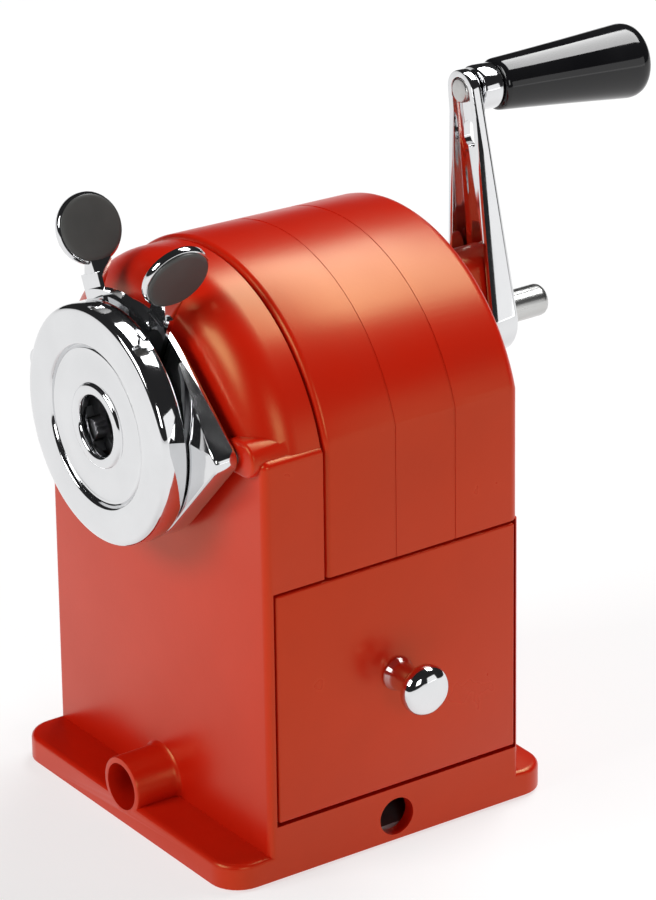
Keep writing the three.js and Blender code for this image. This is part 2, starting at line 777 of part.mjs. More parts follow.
function carriagePlate() {
  let plate = alongY(eyeOutline(plateRadius, earRadius), plateFrontY, plateRearY);
  const room = alongY(
    eyeOutline(plateRadius - plateWall, earRadius - plateWall),
    plateFrontY + plateSheet, plateRearY - plateWall,
  );
  plate = plate.subtract(room).translate([0, 0, axisHeight]);
  for (const side of [-1, 1]) {
    plate = plate.add(roundY(earRadius, plateFrontY, plateRearY, side * guideSpread, guideHeight, 16));
    plate = cut(
      plate,
      roundY(guideRodRadius + runGap, plateFrontY - 1, plateRearY + 1, side * guideSpread, guideHeight, 16),
      roundY(rodHeadRadius + runGap, plateFrontY - 1, plateFrontY + rodHeadDepth + 0.1,
        side * guideSpread, guideHeight, 16),
    );
  }
  return cut(
    plate,
    roundY(discSeatRadius, plateFrontY - 1, plateFrontY + plateSheet + 0.2, 0, axisHeight, 32),
    roundY(pencilRadius + 0.6, plateFrontY - 1, plateRearY + 1, 0, axisHeight),
    block(
      [-slotHalfWidth, plateFrontY - 1, axisHeight + slotAboveAxis],
      [slotHalfWidth, plateRearY - plateWall, axisHeight + plateRadius + 1],
    ),
  );
}

piece("carriage_plate", carriagePlate(), chrome);

const faceStep = 0.7;
piece("face_disc", turnedY([
  [pencilRadius, discFrontY + 0.5],
  [pencilRadius + 0.5, discFrontY],
  [hubRingRadius - 1, discFrontY],
  [hubRingRadius, discFrontY + faceStep],
  [ringStepRadius - 3, discFrontY + faceStep + 0.3],
  [ringStepRadius - 0.4, discFrontY + faceStep],
  [ringStepRadius, discFrontY],
  [discRadius - 1.2, discFrontY],
  [discRadius - 0.35, discFrontY + 0.35],
  [discRadius, discFrontY + 1.2],
  [discRadius, discRearY],
  [discRadius - discWall, discRearY],
  [discRadius - discWall, discFrontY + discWall + faceStep + 0.3],
  [pencilRadius, discFrontY + discWall + faceStep + 0.3],
  [pencilRadius, discFrontY + 0.5],
], 0, axisHeight, 32), chrome);

const jawFrontY = discFrontY + discWall + faceStep + 0.3 + slideGap;
const jawRearY = discRearY - 0.3;
const jawGuideRearY = plateFrontY + 0.9;

// Guide plate that carries the jaws: a ring with a radial rib on both sides of each jaw.
function jawGuide() {
  let guide = turnedY([
    [pencilRadius + 0.6, jawRearY + slideGap],
    [discRadius - discWall - 1, jawRearY + slideGap],
    [discRadius - discWall - 1, jawGuideRearY],
    [pencilRadius + 0.6, jawGuideRearY],
    [pencilRadius + 0.6, jawRearY + slideGap],
  ], 0, axisHeight, 28);
  for (let i = 0; i < jawCount; i++) {
    for (const side of [-1, 1]) {
      const inner = side * (jawWidth / 2 + slideGap);
      const outer = side * (jawWidth / 2 + slideGap + 2);
      const rib = block(
        [Math.min(inner, outer), jawFrontY, jawTipRadius + 4],
        [Math.max(inner, outer), jawRearY + slideGap + 0.4, discRadius - discWall - 2],
      );
      guide = guide.add(rib.rotate([0, (i * 360) / jawCount, 0]).translate([0, 0, axisHeight]));
    }
  }
  return guide;
}

piece("jaw_guide", jawGuide(), castZinc);

// A jaw: a block with a pointed, serrated inner end.
for (let i = 0; i < jawCount; i++) {
  const shape = new THREE.Shape();
  shape.moveTo(-jawWidth / 2, jawTipRadius + jawLength);
  shape.lineTo(-jawWidth / 2, jawTipRadius + 1.6);
  shape.lineTo(-0.9, jawTipRadius);
  shape.lineTo(0, jawTipRadius + 0.7);
  shape.lineTo(0.9, jawTipRadius);
  shape.lineTo(jawWidth / 2, jawTipRadius + 1.6);
  shape.lineTo(jawWidth / 2, jawTipRadius + jawLength);
  shape.closePath();
  const jaw = alongY(shape, jawFrontY, jawRearY, 1);
  piece(`jaw_${i + 1}`, jaw.rotate([0, (i * 360) / jawCount, 0]).translate([0, 0, axisHeight]), hardenedSteel);
}

// Guide rods with a head at the ear and a clip at the back, and the return springs around them.
const clipThickness = 1;
const clipY = guideRodRear - 2.5;
const springWire = 0.4;
const springCoilRadius = guideRodRadius + 1.1;
const springTurns = 7;
[["left", -1], ["right", 1]].forEach(([label, side]) => {
  const x = side * guideSpread;
  const rod = join(
    roundY(guideRodRadius, plateFrontY + 0.1, guideRodRear, x, guideHeight, 16),
    roundY(rodHeadRadius, plateFrontY + 0.1, plateFrontY + rodHeadDepth, x, guideHeight, 16),
  );
  const groove = cut(
    roundY(guideRodRadius + 1, clipY - 0.1, clipY + clipThickness + 0.1, x, guideHeight, 16),
    roundY(guideRodRadius - 0.4, clipY - 1, clipY + clipThickness + 1, x, guideHeight, 16),
  );
  piece(`guide_rod_${label}`, rod.subtract(groove), steel);
  const clip = turnedY([
    [guideRodRadius - 0.3, clipY],
    [guideRodRadius + 2, clipY],
    [guideRodRadius + 2, clipY + clipThickness],
    [guideRodRadius - 0.3, clipY + clipThickness],
    [guideRodRadius - 0.3, clipY],
  ], x, guideHeight, 16);
  const mouth = block(
    [x - guideRodRadius + 0.2, clipY - 1, guideHeight - guideRodRadius - 3],
    [x + guideRodRadius - 0.2, clipY + clipThickness + 1, guideHeight],
  );
  piece(`rod_clip_${label}`, clip.subtract(mouth), hardenedSteel);

  const from = seamY + springWire + 0.1;
  const to = clipY - springWire - 0.1;
  class Coil extends THREE.Curve {
    getPoint(t, target = new THREE.Vector3()) {
      const turn = t * springTurns * 2 * Math.PI;
      return target.set(
        x + springCoilRadius * Math.cos(turn),
        from + (to - from) * t,
        guideHeight + springCoilRadius * Math.sin(turn),
      );
    }
  }
  const wire = new THREE.Shape([
    new THREE.Vector2(springWire, 0),
    new THREE.Vector2(0, springWire),
    new THREE.Vector2(-springWire, 0),
    new THREE.Vector2(0, -springWire),
  ]);
  const coil = new THREE.ExtrudeGeometry(wire, { steps: springTurns * 6, extrudePath: new Coil() });
  piece(`return_spring_${label}`, solid(coil), steel);
});

// ---- Pinch levers: two stacked rings round the pencil axis, each with an arm and a round pad ----
const leverRingInner = pencilRadius + 1.6;
const leverRingOuter = leverRingInner + 5;
const leverArmWidth = 6;
const leverLayer = [jawGuideRearY + slideGap, jawGuideRearY + slideGap + leverSheet + 0.25];

[["left", -1], ["right", 1]].forEach(([label, side], index) => {
  const front = leverLayer[index];
  const back = front + leverSheet;
  const padY = (plateFrontY + plateRearY) / 2 + padSetBack;
  const armTop = leverReach - leverPadRadius + 1;
  let lever = turnedY([
    [leverRingInner, front],
    [leverRingOuter, front],
    [leverRingOuter, back],
    [leverRingInner, back],
    [leverRingInner, front],
  ], 0, 0, 28);
  const arm = block([-leverArmWidth / 2, front, leverRingInner + 2], [leverArmWidth / 2, back, armTop - 1]);
  const neck = block(
    [-leverPadThickness / 2, padY - 3.2, armTop - 4],
    [leverPadThickness / 2, padY + 3.2, armTop + 2],
  );
  const pad = turnedX([
    [0, -leverPadThickness / 2],
    [leverPadRadius, -leverPadThickness / 2],
    [leverPadRadius, leverPadThickness / 2],
    [0, leverPadThickness / 2],
  ], padY, leverReach, 16);
  lever = join(lever, arm, neck, pad).rotate([0, side * leverAngle, 0]).translate([0, 0, axisHeight]);
  piece(`lever_${label}`, lever, chrome);
  // The caps sit on the faces that look towards the right of the body.
  const capInner = leverPadThickness / 2 + 0.02;
  const cap = turnedX([
    [0, capInner],
    [padCapRadius, capInner],
    [padCapRadius - 0.2, capInner + padCapThickness],
    [0, capInner + padCapThickness],
  ], padY, leverReach, 16);
  piece(`lever_cap_${label}`, cap.rotate([0, side * leverAngle, 0]).translate([0, 0, axisHeight]), darkCap);
});

// ---- Cutter head: carrier turned by the crank, with the slanted cutter in it ----
const carrierFrontY = ringRearY + 1;
const carrierFrontInnerY = carrierFrontY + carrierDisc;
const carrierRearY = tipY + 4.2;
const carrierRearOuterY = carrierRearY + 3;
const spindleFrontY = carrierRearOuterY - 0.8;
const strutHalf = 5;

// Line of the cutter's axle above the pencil axis at a given y.
function cutterRise(y) {
  return cutterOffset + (tipY - y) * Math.tan(coneHalfAngle * degree);
}

const cutterMiddleY = (carrierFrontInnerY + carrierRearY) / 2;
const cutterLength = (carrierRearY - carrierFrontInnerY - 2 * 1.9) / Math.cos(coneHalfAngle * degree);
const axleStart = (pinionY - pinionWidth / 2 - 1 - cutterMiddleY) / Math.cos(coneHalfAngle * degree);
const axleEnd = (carrierRearY + 1.6 - cutterMiddleY) / Math.cos(coneHalfAngle * degree);

// Turns a piece made about the Y axis to lie on the cutter's slanted axle.
function onCutterAxle(made) {
  return made.rotate([-coneHalfAngle, 0, 0])
    .translate([0, cutterMiddleY, axisHeight + cutterRise(cutterMiddleY)]);
}

function cutterCarrier() {
  let carrier = turnedY([
    [pencilRadius + 0.6, carrierFrontY],
    [carrierRadius, carrierFrontY],
    [carrierRadius, carrierFrontInnerY],
    [pencilRadius + 0.6, carrierFrontInnerY],
    [pencilRadius + 0.6, carrierFrontY],
  ], 0, axisHeight, 24);
  const rear = join(
    roundY(carrierRadius - 3, carrierRearY, carrierRearOuterY, 0, axisHeight),
    roundY(spindleRadius + 3, carrierRearOuterY - 0.5, rearY - 6, 0, axisHeight),
  );
  carrier = carrier.add(rear);
  for (const side of [-1, 1]) {
    const inner = side * (carrierRadius - 7);
    const outer = side * (carrierRadius - 4);
    carrier = carrier.add(block(
      [Math.min(inner, outer), carrierFrontInnerY - 0.5, axisHeight - strutHalf],
      [Math.max(inner, outer), carrierRearY + 0.5, axisHeight + strutHalf],
    ));
  }
  carrier = carrier.add(block(
    [-strutHalf, carrierFrontInnerY - 0.5, axisHeight - carrierRadius + 3],
    [strutHalf, carrierRearY + 0.5, axisHeight - carrierRadius + 6],
  ));
  const axleBore = onCutterAxle(roundY(axleRadius + runGap, axleStart - 5, axleEnd + 5, 0, 0, 16));
  const spindleBore = roundY(spindleRadius + runGap, spindleFrontY, rearY, 0, axisHeight);
  const pinBore = roundZ(carrierPinRadius + runGap, axisHeight - 20, axisHeight + 20, 0, carrierPinY, 12);
  return cut(carrier, axleBore, spindleBore, pinBore);
}

const carrierPinRadius = 1;
const carrierPinY = rearY - 8.4;
piece("cutter_carrier", cutterCarrier(), castZinc);
piece("cutter_axle", onCutterAxle(roundY(axleRadius, axleStart, axleEnd, 0, 0, 16)), steel);

// Cutter: straight blades on a drum, twisted into a helix.
function helicalCutter() {
  const steps = 3;
  const outline = gearOutline(cutterBlades, cutterRadius, cutterRadius - 1.1, 0.32, 0.06, 0);
  const geometry = new THREE.ExtrudeGeometry(outline, { depth: cutterLength, bevelEnabled: false, steps });
  geometry.applyMatrix4(new THREE.Matrix4().makeBasis(X, Z, Y.clone().negate()));
  geometry.translate(0, cutterLength / 2, 0);
  const place = geometry.attributes.position;
  for (let i = 0; i < place.count; i++) {
    const turn = cutterTwist * degree * (place.getY(i) / cutterLength);
    const [x, z] = [place.getX(i), place.getZ(i)];
    place.setX(i, x * Math.cos(turn) - z * Math.sin(turn));
    place.setZ(i, x * Math.sin(turn) + z * Math.cos(turn));
  }
  const bore = roundY(axleRadius + runGap, -cutterLength, cutterLength, 0, 0, 16);
  return solid(geometry).subtract(bore);
}

piece("helical_cutter", onCutterAxle(helicalCutter()), hardenedSteel);

// The pinion stands before the carrier's front disc, on a sleeve that runs through the disc.
function cutterPinion() {
  const middle = (pinionY - cutterMiddleY) / Math.cos(coneHalfAngle * degree);
  const outline = gearOutline(pinionTeeth, pinionPitch + addendum, pinionPitch - dedendum, 0.3, 0.14, Math.PI / 2);
  const teeth = alongY(outline, middle - pinionWidth / 2, middle + pinionWidth / 2, 1);
  return teeth.subtract(roundY(axleRadius + runGap, middle - 5, middle + 5, 0, 0, 16));
}

piece("cutter_pinion", onCutterAxle(cutterPinion()), steel);

// ---- Spindle, crank hub, arm and handle ----
const spindleEndRadius = spindleRadius - 0.9;
const spindle = turnedY([
  [0, spindleFrontY + 0.1],
  [spindleRadius, spindleFrontY + 0.1],
  [spindleRadius, armFrontY - 0.3],
  [spindleEndRadius, armFrontY - 0.3],
  [spindleEndRadius, armRearY + spindleEnd - 1],
  [spindleEndRadius - 0.8, armRearY + spindleEnd],
  [0, armRearY + spindleEnd],
], 0, axisHeight);

const hubPinY = hubFrontY + 3;
const pinHoles = [carrierPinY, hubPinY].map(
  (y) => roundZ(carrierPinRadius + runGap, axisHeight - 20, axisHeight + 20, 0, y, 12),
);
piece("spindle", cut(spindle, ...pinHoles), steel);
piece("carrier_pin", roundZ(
  carrierPinRadius, axisHeight - spindleRadius - 2.6, axisHeight + spindleRadius + 2.6, 0, carrierPinY, 12,
), hardenedSteel);

// Everything outside the back turns with the crank and leans with the arm's rest position.
const crank = new THREE.Group();
crank.position.set(0, 0, axisHeight);
crank.rotation.y = armLean * degree;
sharpener.add(crank);

function crankHub() {
  const outline = taperedOutline(hubRadius, hubRadius - 0.9, hubLobe - hubRadius + 0.9);
  const hub = alongY(outline, hubFrontY, armFrontY - slideGap, 8);
  const neck = roundY(hubRadius + 1.4, hubFrontY, hubFrontY + 4.5, 0, 0);
  const upright = roundZ(carrierPinRadius + runGap, -20, hubRadius + 3, 0, hubPinY, 12)
    .rotate([0, -armLean, 0]);
  return cut(join(hub, neck), roundY(spindleRadius + runGap, hubFrontY - 1, armFrontY, 0, 0), upright);
}

piece("crank_hub", crankHub(), redPaint, crank);
piece("hub_pin", roundZ(
  carrierPinRadius, axisHeight - hubRadius, axisHeight + hubRadius, 0, hubPinY, 12,
), hardenedSteel);

// Channel-shaped arm: a web with two flanges that stand towards the body and get lower upwards.
function crankArm() {
  const outline = taperedOutline(armBottomRadius, armTopRadius, armRadiusOfTurn);
  const inner = taperedOutline(armBottomRadius - armSheet, armTopRadius - armSheet, armRadiusOfTurn);
  const deep = armFrontY - armFlangeBottom;
  let arm = alongY(outline, deep, armRearY);
  arm = arm.subtract(alongY(inner, deep - 1, armFrontY));
  // The flanges' free edges run back towards the web at the top.
  const wedge = new THREE.Shape();
  wedge.moveTo(deep - 2, -armBottomRadius - 2);
  wedge.lineTo(deep, -armBottomRadius - 2);
  wedge.lineTo(deep, 0);
  wedge.lineTo(armFrontY - armFlangeTop, armRadiusOfTurn - 4);
  wedge.lineTo(armFrontY - armFlangeTop, armRadiusOfTurn + armTopRadius + 2);
  wedge.lineTo(deep - 2, armRadiusOfTurn + armTopRadius + 2);
  wedge.closePath();
  arm = arm.subtract(alongX(wedge, -armBottomRadius - 2, armBottomRadius + 2));
  const slot = taperedOutline(2, 1.8, 1.4);
  return cut(
    arm,
    alongY(slot, armFrontY - 1, armRearY + 1, 5).translate([0, 0, armRadiusOfTurn - 9]),
    roundY(spindleEndRadius + runGap, armFrontY - 1, armRearY + 1, 0, 0),
    roundY(handlePinRadius + runGap, armFrontY - 3, armRearY + 1, 0, armRadiusOfTurn, 16),
  );
}

// The handle tips down a little from the arm, about the point where its pin leaves the web.
const handle = new THREE.Group();
handle.position.set(0, armRearY, armRadiusOfTurn);
handle.rotation.x = -handleTilt * degree;
crank.add(handle);

const ferruleFrontY = armRearY + handleGap;
const ferruleRearY = ferruleFrontY + ferruleLength;
const gripFrontY = ferruleRearY + slideGap;
const gripRearY = gripFrontY + gripLength;
const gripEndY = gripRearY + gripCrown;
const pinEndY = gripRearY - 5;
piece("crank_arm", crankArm(), chrome, crank);

function onHandle(profile, segments) {
  return turnedY(profile, 0, 0, segments).translate([0, -armRearY, 0]);
}

piece("handle_pin", onHandle([
  [0, armFrontY - 1.2 - handleGap],
  [handlePinRadius + 0.4, armFrontY - 1.2 - handleGap],
  [handlePinRadius + 0.4, armFrontY - handleGap],
  [handlePinRadius, armFrontY - handleGap],
  [handlePinRadius, pinEndY],
  [0, pinEndY],
], 16), steel, handle);
piece("handle_ferrule", onHandle([
  [handlePinRadius + runGap, ferruleFrontY],
  [ferruleRadius - 0.2, ferruleFrontY],
  [ferruleRadius, ferruleRearY - 0.3],
  [ferruleRadius - 0.3, ferruleRearY],
  [handlePinRadius + runGap, ferruleRearY],
  [handlePinRadius + runGap, ferruleFrontY],
], 16), chrome, handle);

function gripProfile() {
  const profile = [
    [handlePinRadius + runGap, gripFrontY],
    [gripNarrow - 0.4, gripFrontY],
    [gripNarrow, gripFrontY + 0.6],
    [gripWide, gripRearY - gripEndRound],
  ];
  const steps = 3;
  for (let i = 1; i <= steps; i++) {
    const turn = (i / steps) * (Math.PI / 2);
    profile.push([
      gripWide - gripEndRound + gripEndRound * Math.cos(turn),
      gripRearY - gripEndRound + gripEndRound * Math.sin(turn),
    ]);
  }
  profile.push([0, gripEndY]);
  profile.push([0, pinEndY + slideGap]);
  profile.push([handlePinRadius + runGap, pinEndY + slideGap]);
  profile.push([handlePinRadius + runGap, gripFrontY]);
  return profile;
}

piece("handle_grip", onHandle(gripProfile(), 20), blackPlastic, handle);

// The box reaches from the face disc to the grip's end, and from the closed side to the drawer knob.
const handleReach = (gripEndY - armRearY) * Math.cos(handleTilt * degree);
sharpener.position.set(-(knobEnd - halfWidth) / 2, -(discFrontY + armRearY + handleReach) / 2, 0);
const part = new THREE.Group();
part.add(sharpener);

export default part;
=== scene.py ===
import json
import math

import bpy
from mathutils import Matrix, Vector


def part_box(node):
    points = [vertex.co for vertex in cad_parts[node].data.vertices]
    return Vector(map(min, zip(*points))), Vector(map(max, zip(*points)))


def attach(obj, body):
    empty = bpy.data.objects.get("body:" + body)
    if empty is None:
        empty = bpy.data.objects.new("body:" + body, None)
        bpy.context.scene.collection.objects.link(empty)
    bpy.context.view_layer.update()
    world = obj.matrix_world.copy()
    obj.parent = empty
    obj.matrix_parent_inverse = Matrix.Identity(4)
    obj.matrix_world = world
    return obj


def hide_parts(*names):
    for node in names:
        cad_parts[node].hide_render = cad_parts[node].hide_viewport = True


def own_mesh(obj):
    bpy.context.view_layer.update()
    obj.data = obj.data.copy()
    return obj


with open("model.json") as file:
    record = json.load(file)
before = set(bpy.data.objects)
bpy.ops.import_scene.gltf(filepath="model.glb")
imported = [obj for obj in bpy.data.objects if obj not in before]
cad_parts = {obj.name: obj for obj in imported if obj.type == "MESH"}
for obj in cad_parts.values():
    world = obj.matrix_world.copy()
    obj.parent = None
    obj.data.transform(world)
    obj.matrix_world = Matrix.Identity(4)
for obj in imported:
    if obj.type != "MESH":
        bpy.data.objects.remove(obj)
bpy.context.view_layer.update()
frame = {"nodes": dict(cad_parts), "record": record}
mm = 0.001

# Sizes of the pieces are in millimetres about the middle of the body, with the table at z = 0.
flangeReach = 37.6
castLow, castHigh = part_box("housing")
bodyMiddle = Vector(((castLow[0] + castHigh[0]) / 2, castLow[1] + flangeReach * mm, 0))
axisZ = 82.6  # the height of the line that the pencil and the crank share
archZ = 74.6  # the height of the middle of the roof's arch
rodX, rodZ = 28.5, 84.1
clampZ = 8
roundSides = 160
sides = (("Left", -1), ("Right", 1))


def at(x, y, z):
    return Vector((x, y, z)) * mm + bodyMiddle


# Modelling helpers
axisTurn = {"X": (0, math.pi / 2, 0), "Y": (-math.pi / 2, 0, 0), "Z": (0, 0, 0)}


def clearAll():
    if bpy.context.mode != "OBJECT":
        bpy.ops.object.mode_set(mode="OBJECT")
    bpy.ops.object.select_all(action="DESELECT")


def pick(piece):
    clearAll()
    piece.select_set(True)
    bpy.context.view_layer.objects.active = piece


def renamed(piece, name):
    piece.name = name
    piece.data.name = name
    return piece


def settle(name):  # the active piece's place and size go into its mesh
    bpy.ops.object.transform_apply(location=True, rotation=True, scale=True)
    return renamed(bpy.context.object, name)


def block(name, low, high):
    clearAll()
    bpy.ops.mesh.primitive_cube_add(size=1, location=(at(*low) + at(*high)) / 2)
    bpy.context.object.scale = [(b - a) * mm for a, b in zip(low, high)]
    return settle(name)


def onAxis(axis, along, across):  # a point on a line along one axis, from its two other coordinates
    a, b = across
    return {"X": (along, a, b), "Y": (a, along, b), "Z": (a, b, along)}[axis]


def drum(name, axis, radius, start, end, across, sides=64):
    clearAll()
    bpy.ops.mesh.primitive_cylinder_add(
        vertices=sides, radius=radius * mm, depth=(end - start) * mm,
        location=at(*onAxis(axis, (start + end) / 2, across)), rotation=axisTurn[axis])
    return settle(name)


def walk(points):  # one point, drawn out along a line of points
    clearAll()
    bpy.ops.mesh.primitive_plane_add(size=mm, location=(0, 0, 0))
    bpy.ops.object.mode_set(mode="EDIT")
    bpy.ops.mesh.select_mode(type="VERT")
    bpy.ops.mesh.merge(type="CENTER")
    bpy.ops.transform.translate(value=points[0])
    for here, there in zip(points, points[1:]):
        bpy.ops.mesh.extrude_vertices_move(TRANSFORM_OT_translate={"value": there - here})
    bpy.ops.mesh.select_all(action="SELECT")


def turned(name, axis, across, profile, sides=64):  # profile of (radius, distance along the axis)
    walk([Vector((r, 0, along)) * mm for r, along in profile])
    bpy.ops.mesh.spin(steps=sides, angle=2 * math.pi, center=(0, 0, 0), axis=(0, 0, 1))
    bpy.ops.mesh.select_all(action="SELECT")
    bpy.ops.mesh.remove_doubles(threshold=0.0005 * mm)
    bpy.ops.mesh.normals_make_consistent(inside=False)
    bpy.ops.object.mode_set(mode="OBJECT")
    bpy.context.object.rotation_euler = axisTurn[axis]
    bpy.context.object.location = at(*onAxis(axis, 0, across))
    return settle(name)


def outlined(name, points, start, end):  # outline of (x, z), drawn out along Y
    walk([at(x, start, z) for x, z in points])
    bpy.ops.mesh.edge_face_add()
    bpy.ops.mesh.extrude_region_move(TRANSFORM_OT_translate={"value": (0, (end - start) * mm, 0)})
    bpy.ops.mesh.select_all(action="SELECT")
    bpy.ops.mesh.normals_make_consistent(inside=False)
    bpy.ops.object.mode_set(mode="OBJECT")
    return settle(name)


def onPlane(axis, place):  # a test for edges that lie in one plane across an axis
    index = "XYZ".index(axis)
    return lambda a, b: abs(a[index] - place) < 0.01 and abs(b[index] - place) < 0.01


def upright(a, b):
    return abs(a.z - b.z) > 1 and abs(a.x - b.x) < 0.01 and abs(a.y - b.y) < 0.01


def roundEdges(piece, width, segments, *tests):  # every edge that passes one of the tests
    pick(piece)
    bpy.ops.object.mode_set(mode="EDIT")
    bpy.ops.mesh.select_mode(type="EDGE")
    bpy.ops.mesh.select_all(action="DESELECT")
    bpy.ops.object.mode_set(mode="OBJECT")
    points = piece.data.vertices
    for edge in piece.data.edges:
        a, b = [(points[i].co - bodyMiddle) / mm for i in edge.vertices]
        edge.select = any(test(a, b) for test in tests)
    bpy.ops.object.mode_set(mode="EDIT")
    bpy.ops.mesh.bevel(offset=width * mm, segments=segments, profile=0.5, clamp_overlap=True)
    clearAll()
    return piece


def soften(piece, width, angle=35):
    pick(piece)
    bevel = piece.modifiers.new("softEdges", "BEVEL")
    bevel.width = width * mm
    bevel.segments = 2
    bevel.limit_method = "ANGLE"
    bevel.angle_limit = math.radians(angle)
    bevel.use_clamp_overlap = True
    bpy.ops.object.modifier_apply(modifier=bevel.name)
    return piece


def combine(piece, tool, operation):
    pick(piece)
    change = piece.modifiers.new("combine", "BOOLEAN")
    change.operation = operation
    change.solver = "MANIFOLD"
    change.object = tool
    bpy.ops.object.modifier_apply(modifier=change.name)
    bpy.data.objects.remove(tool)
    return piece


def add(piece, *tools):
    for tool in tools:
        combine(piece, tool, "UNION")
    return piece


def cut(piece, *tools):
    for tool in tools:
        combine(piece, tool, "DIFFERENCE")
    return piece


def keepInside(piece, tool):
    return combine(piece, tool, "INTERSECT")


def hull(name, *solids):  # one tight skin round several solids
    pick(solids[0])
    for solid in solids[1:]:
        solid.select_set(True)
    bpy.ops.object.join()
    bpy.ops.object.mode_set(mode="EDIT")
    bpy.ops.mesh.select_all(action="SELECT")
    bpy.ops.mesh.convex_hull(join_triangles=True)
    bpy.ops.mesh.select_all(action="SELECT")
    bpy.ops.mesh.dissolve_limited(angle_limit=math.radians(0.2))
    clearAll()
    return renamed(bpy.context.view_layer.objects.active, name)


def turnAbout(piece, centre, turn):
    piece.data.transform(Matrix.Translation(centre) @ turn @ Matrix.Translation(-centre))
    return piece


def swing(piece, degrees):  # about the pencil's line
    return turnAbout(piece, at(0, 0, axisZ), Matrix.Rotation(math.radians(degrees), 4, "Y"))


def finished(piece, body, slot, replaced, angle=38):  # shading, material, body and slot of a shaped piece
    pick(piece)
    bpy.ops.object.shade_smooth_by_angle(angle=math.radians(angle))
    piece.data.materials.clear()
    piece.data.materials.append(materials[slot])
    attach(piece, body)
    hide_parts(replaced)
    return piece


# Shader groups: they give only masks and heights
def newGroup(name, inputs, outputs):
    group = bpy.data.node_groups.new(name, "ShaderNodeTree")
    for label, kind, value in inputs:
        socket = group.interface.new_socket(name=label, in_out="INPUT", socket_type=kind)
        socket.default_value = value
    for label, kind in outputs:
        group.interface.new_socket(name=label, in_out="OUTPUT", socket_type=kind)
    return group, group.nodes.new("NodeGroupInput"), group.nodes.new("NodeGroupOutput")


def surfaceBreakupGroup():  # cloudy mask and a fine height, for paint, metal and plastic alike
    group, given, put = newGroup(
        "surfaceBreakup",
        [("Vector", "NodeSocketVector", (0, 0, 0)), ("Cloud Scale", "NodeSocketFloat", 60.0),
         ("Grain Scale", "NodeSocketFloat", 900.0)],
        [("Clouds", "NodeSocketFloat"), ("Grain", "NodeSocketFloat")])
    link = group.links.new
    clouds = group.nodes.new("ShaderNodeTexNoise")
    clouds.inputs["Detail"].default_value = 4
    clouds.inputs["Roughness"].default_value = 0.6
    grain = group.nodes.new("ShaderNodeTexNoise")
    grain.inputs["Detail"].default_value = 2
    ramp = group.nodes.new("ShaderNodeMapRange")
    ramp.inputs["From Min"].default_value = 0.3
    ramp.inputs["From Max"].default_value = 0.7
    link(given.outputs["Vector"], clouds.inputs["Vector"])
    link(given.outputs["Cloud Scale"], clouds.inputs["Scale"])
    link(given.outputs["Vector"], grain.inputs["Vector"])
    link(given.outputs["Grain Scale"], grain.inputs["Scale"])
    link(clouds.outputs["Fac"], ramp.inputs["Value"])
    link(ramp.outputs["Result"], put.inputs["Clouds"])
    link(grain.outputs["Fac"], put.inputs["Grain"])
    return group


def fineScratchGroup():  # long thin marks in two crossing directions
    group, given, put = newGroup(
        "fineScratches",
        [("Vector", "NodeSocketVector", (0, 0, 0)), ("Scale", "NodeSocketFloat", 300.0)],
        [("Marks", "NodeSocketFloat")])
    link = group.links.new
    total = None
    for angle, stretch in ((0.4, 0.03), (-0.9, 0.05)):
        lay = group.nodes.new("ShaderNodeMapping")
        lay.inputs["Rotation"].default_value = (angle, angle * 0.5, angle)
        lay.inputs["Scale"].default_value = (1, stretch, 1)
        noise = group.nodes.new("ShaderNodeTexNoise")
        noise.inputs["Detail"].default_value = 3
        thin = group.nodes.new("ShaderNodeMapRange")
        thin.inputs["From Min"].default_value = 0.6
        thin.inputs["From Max"].default_value = 0.72
        link(given.outputs["Vector"], lay.inputs["Vector"])
        link(lay.outputs["Vector"], noise.inputs["Vector"])
        link(given.outputs["Scale"], noise.inputs["Scale"])
        link(noise.outputs["Fac"], thin.inputs["Value"])
        if total is None:
            total = thin.outputs["Result"]
        else:
            larger = group.nodes.new("ShaderNodeMath")
            larger.operation = "MAXIMUM"
            link(total, larger.inputs[0])
            link(thin.outputs["Result"], larger.inputs[1])
            total = larger.outputs["Value"]
    link(total, put.inputs["Marks"])
    return group


breakup = surfaceBreakupGroup()
scratches = fineScratchGroup()


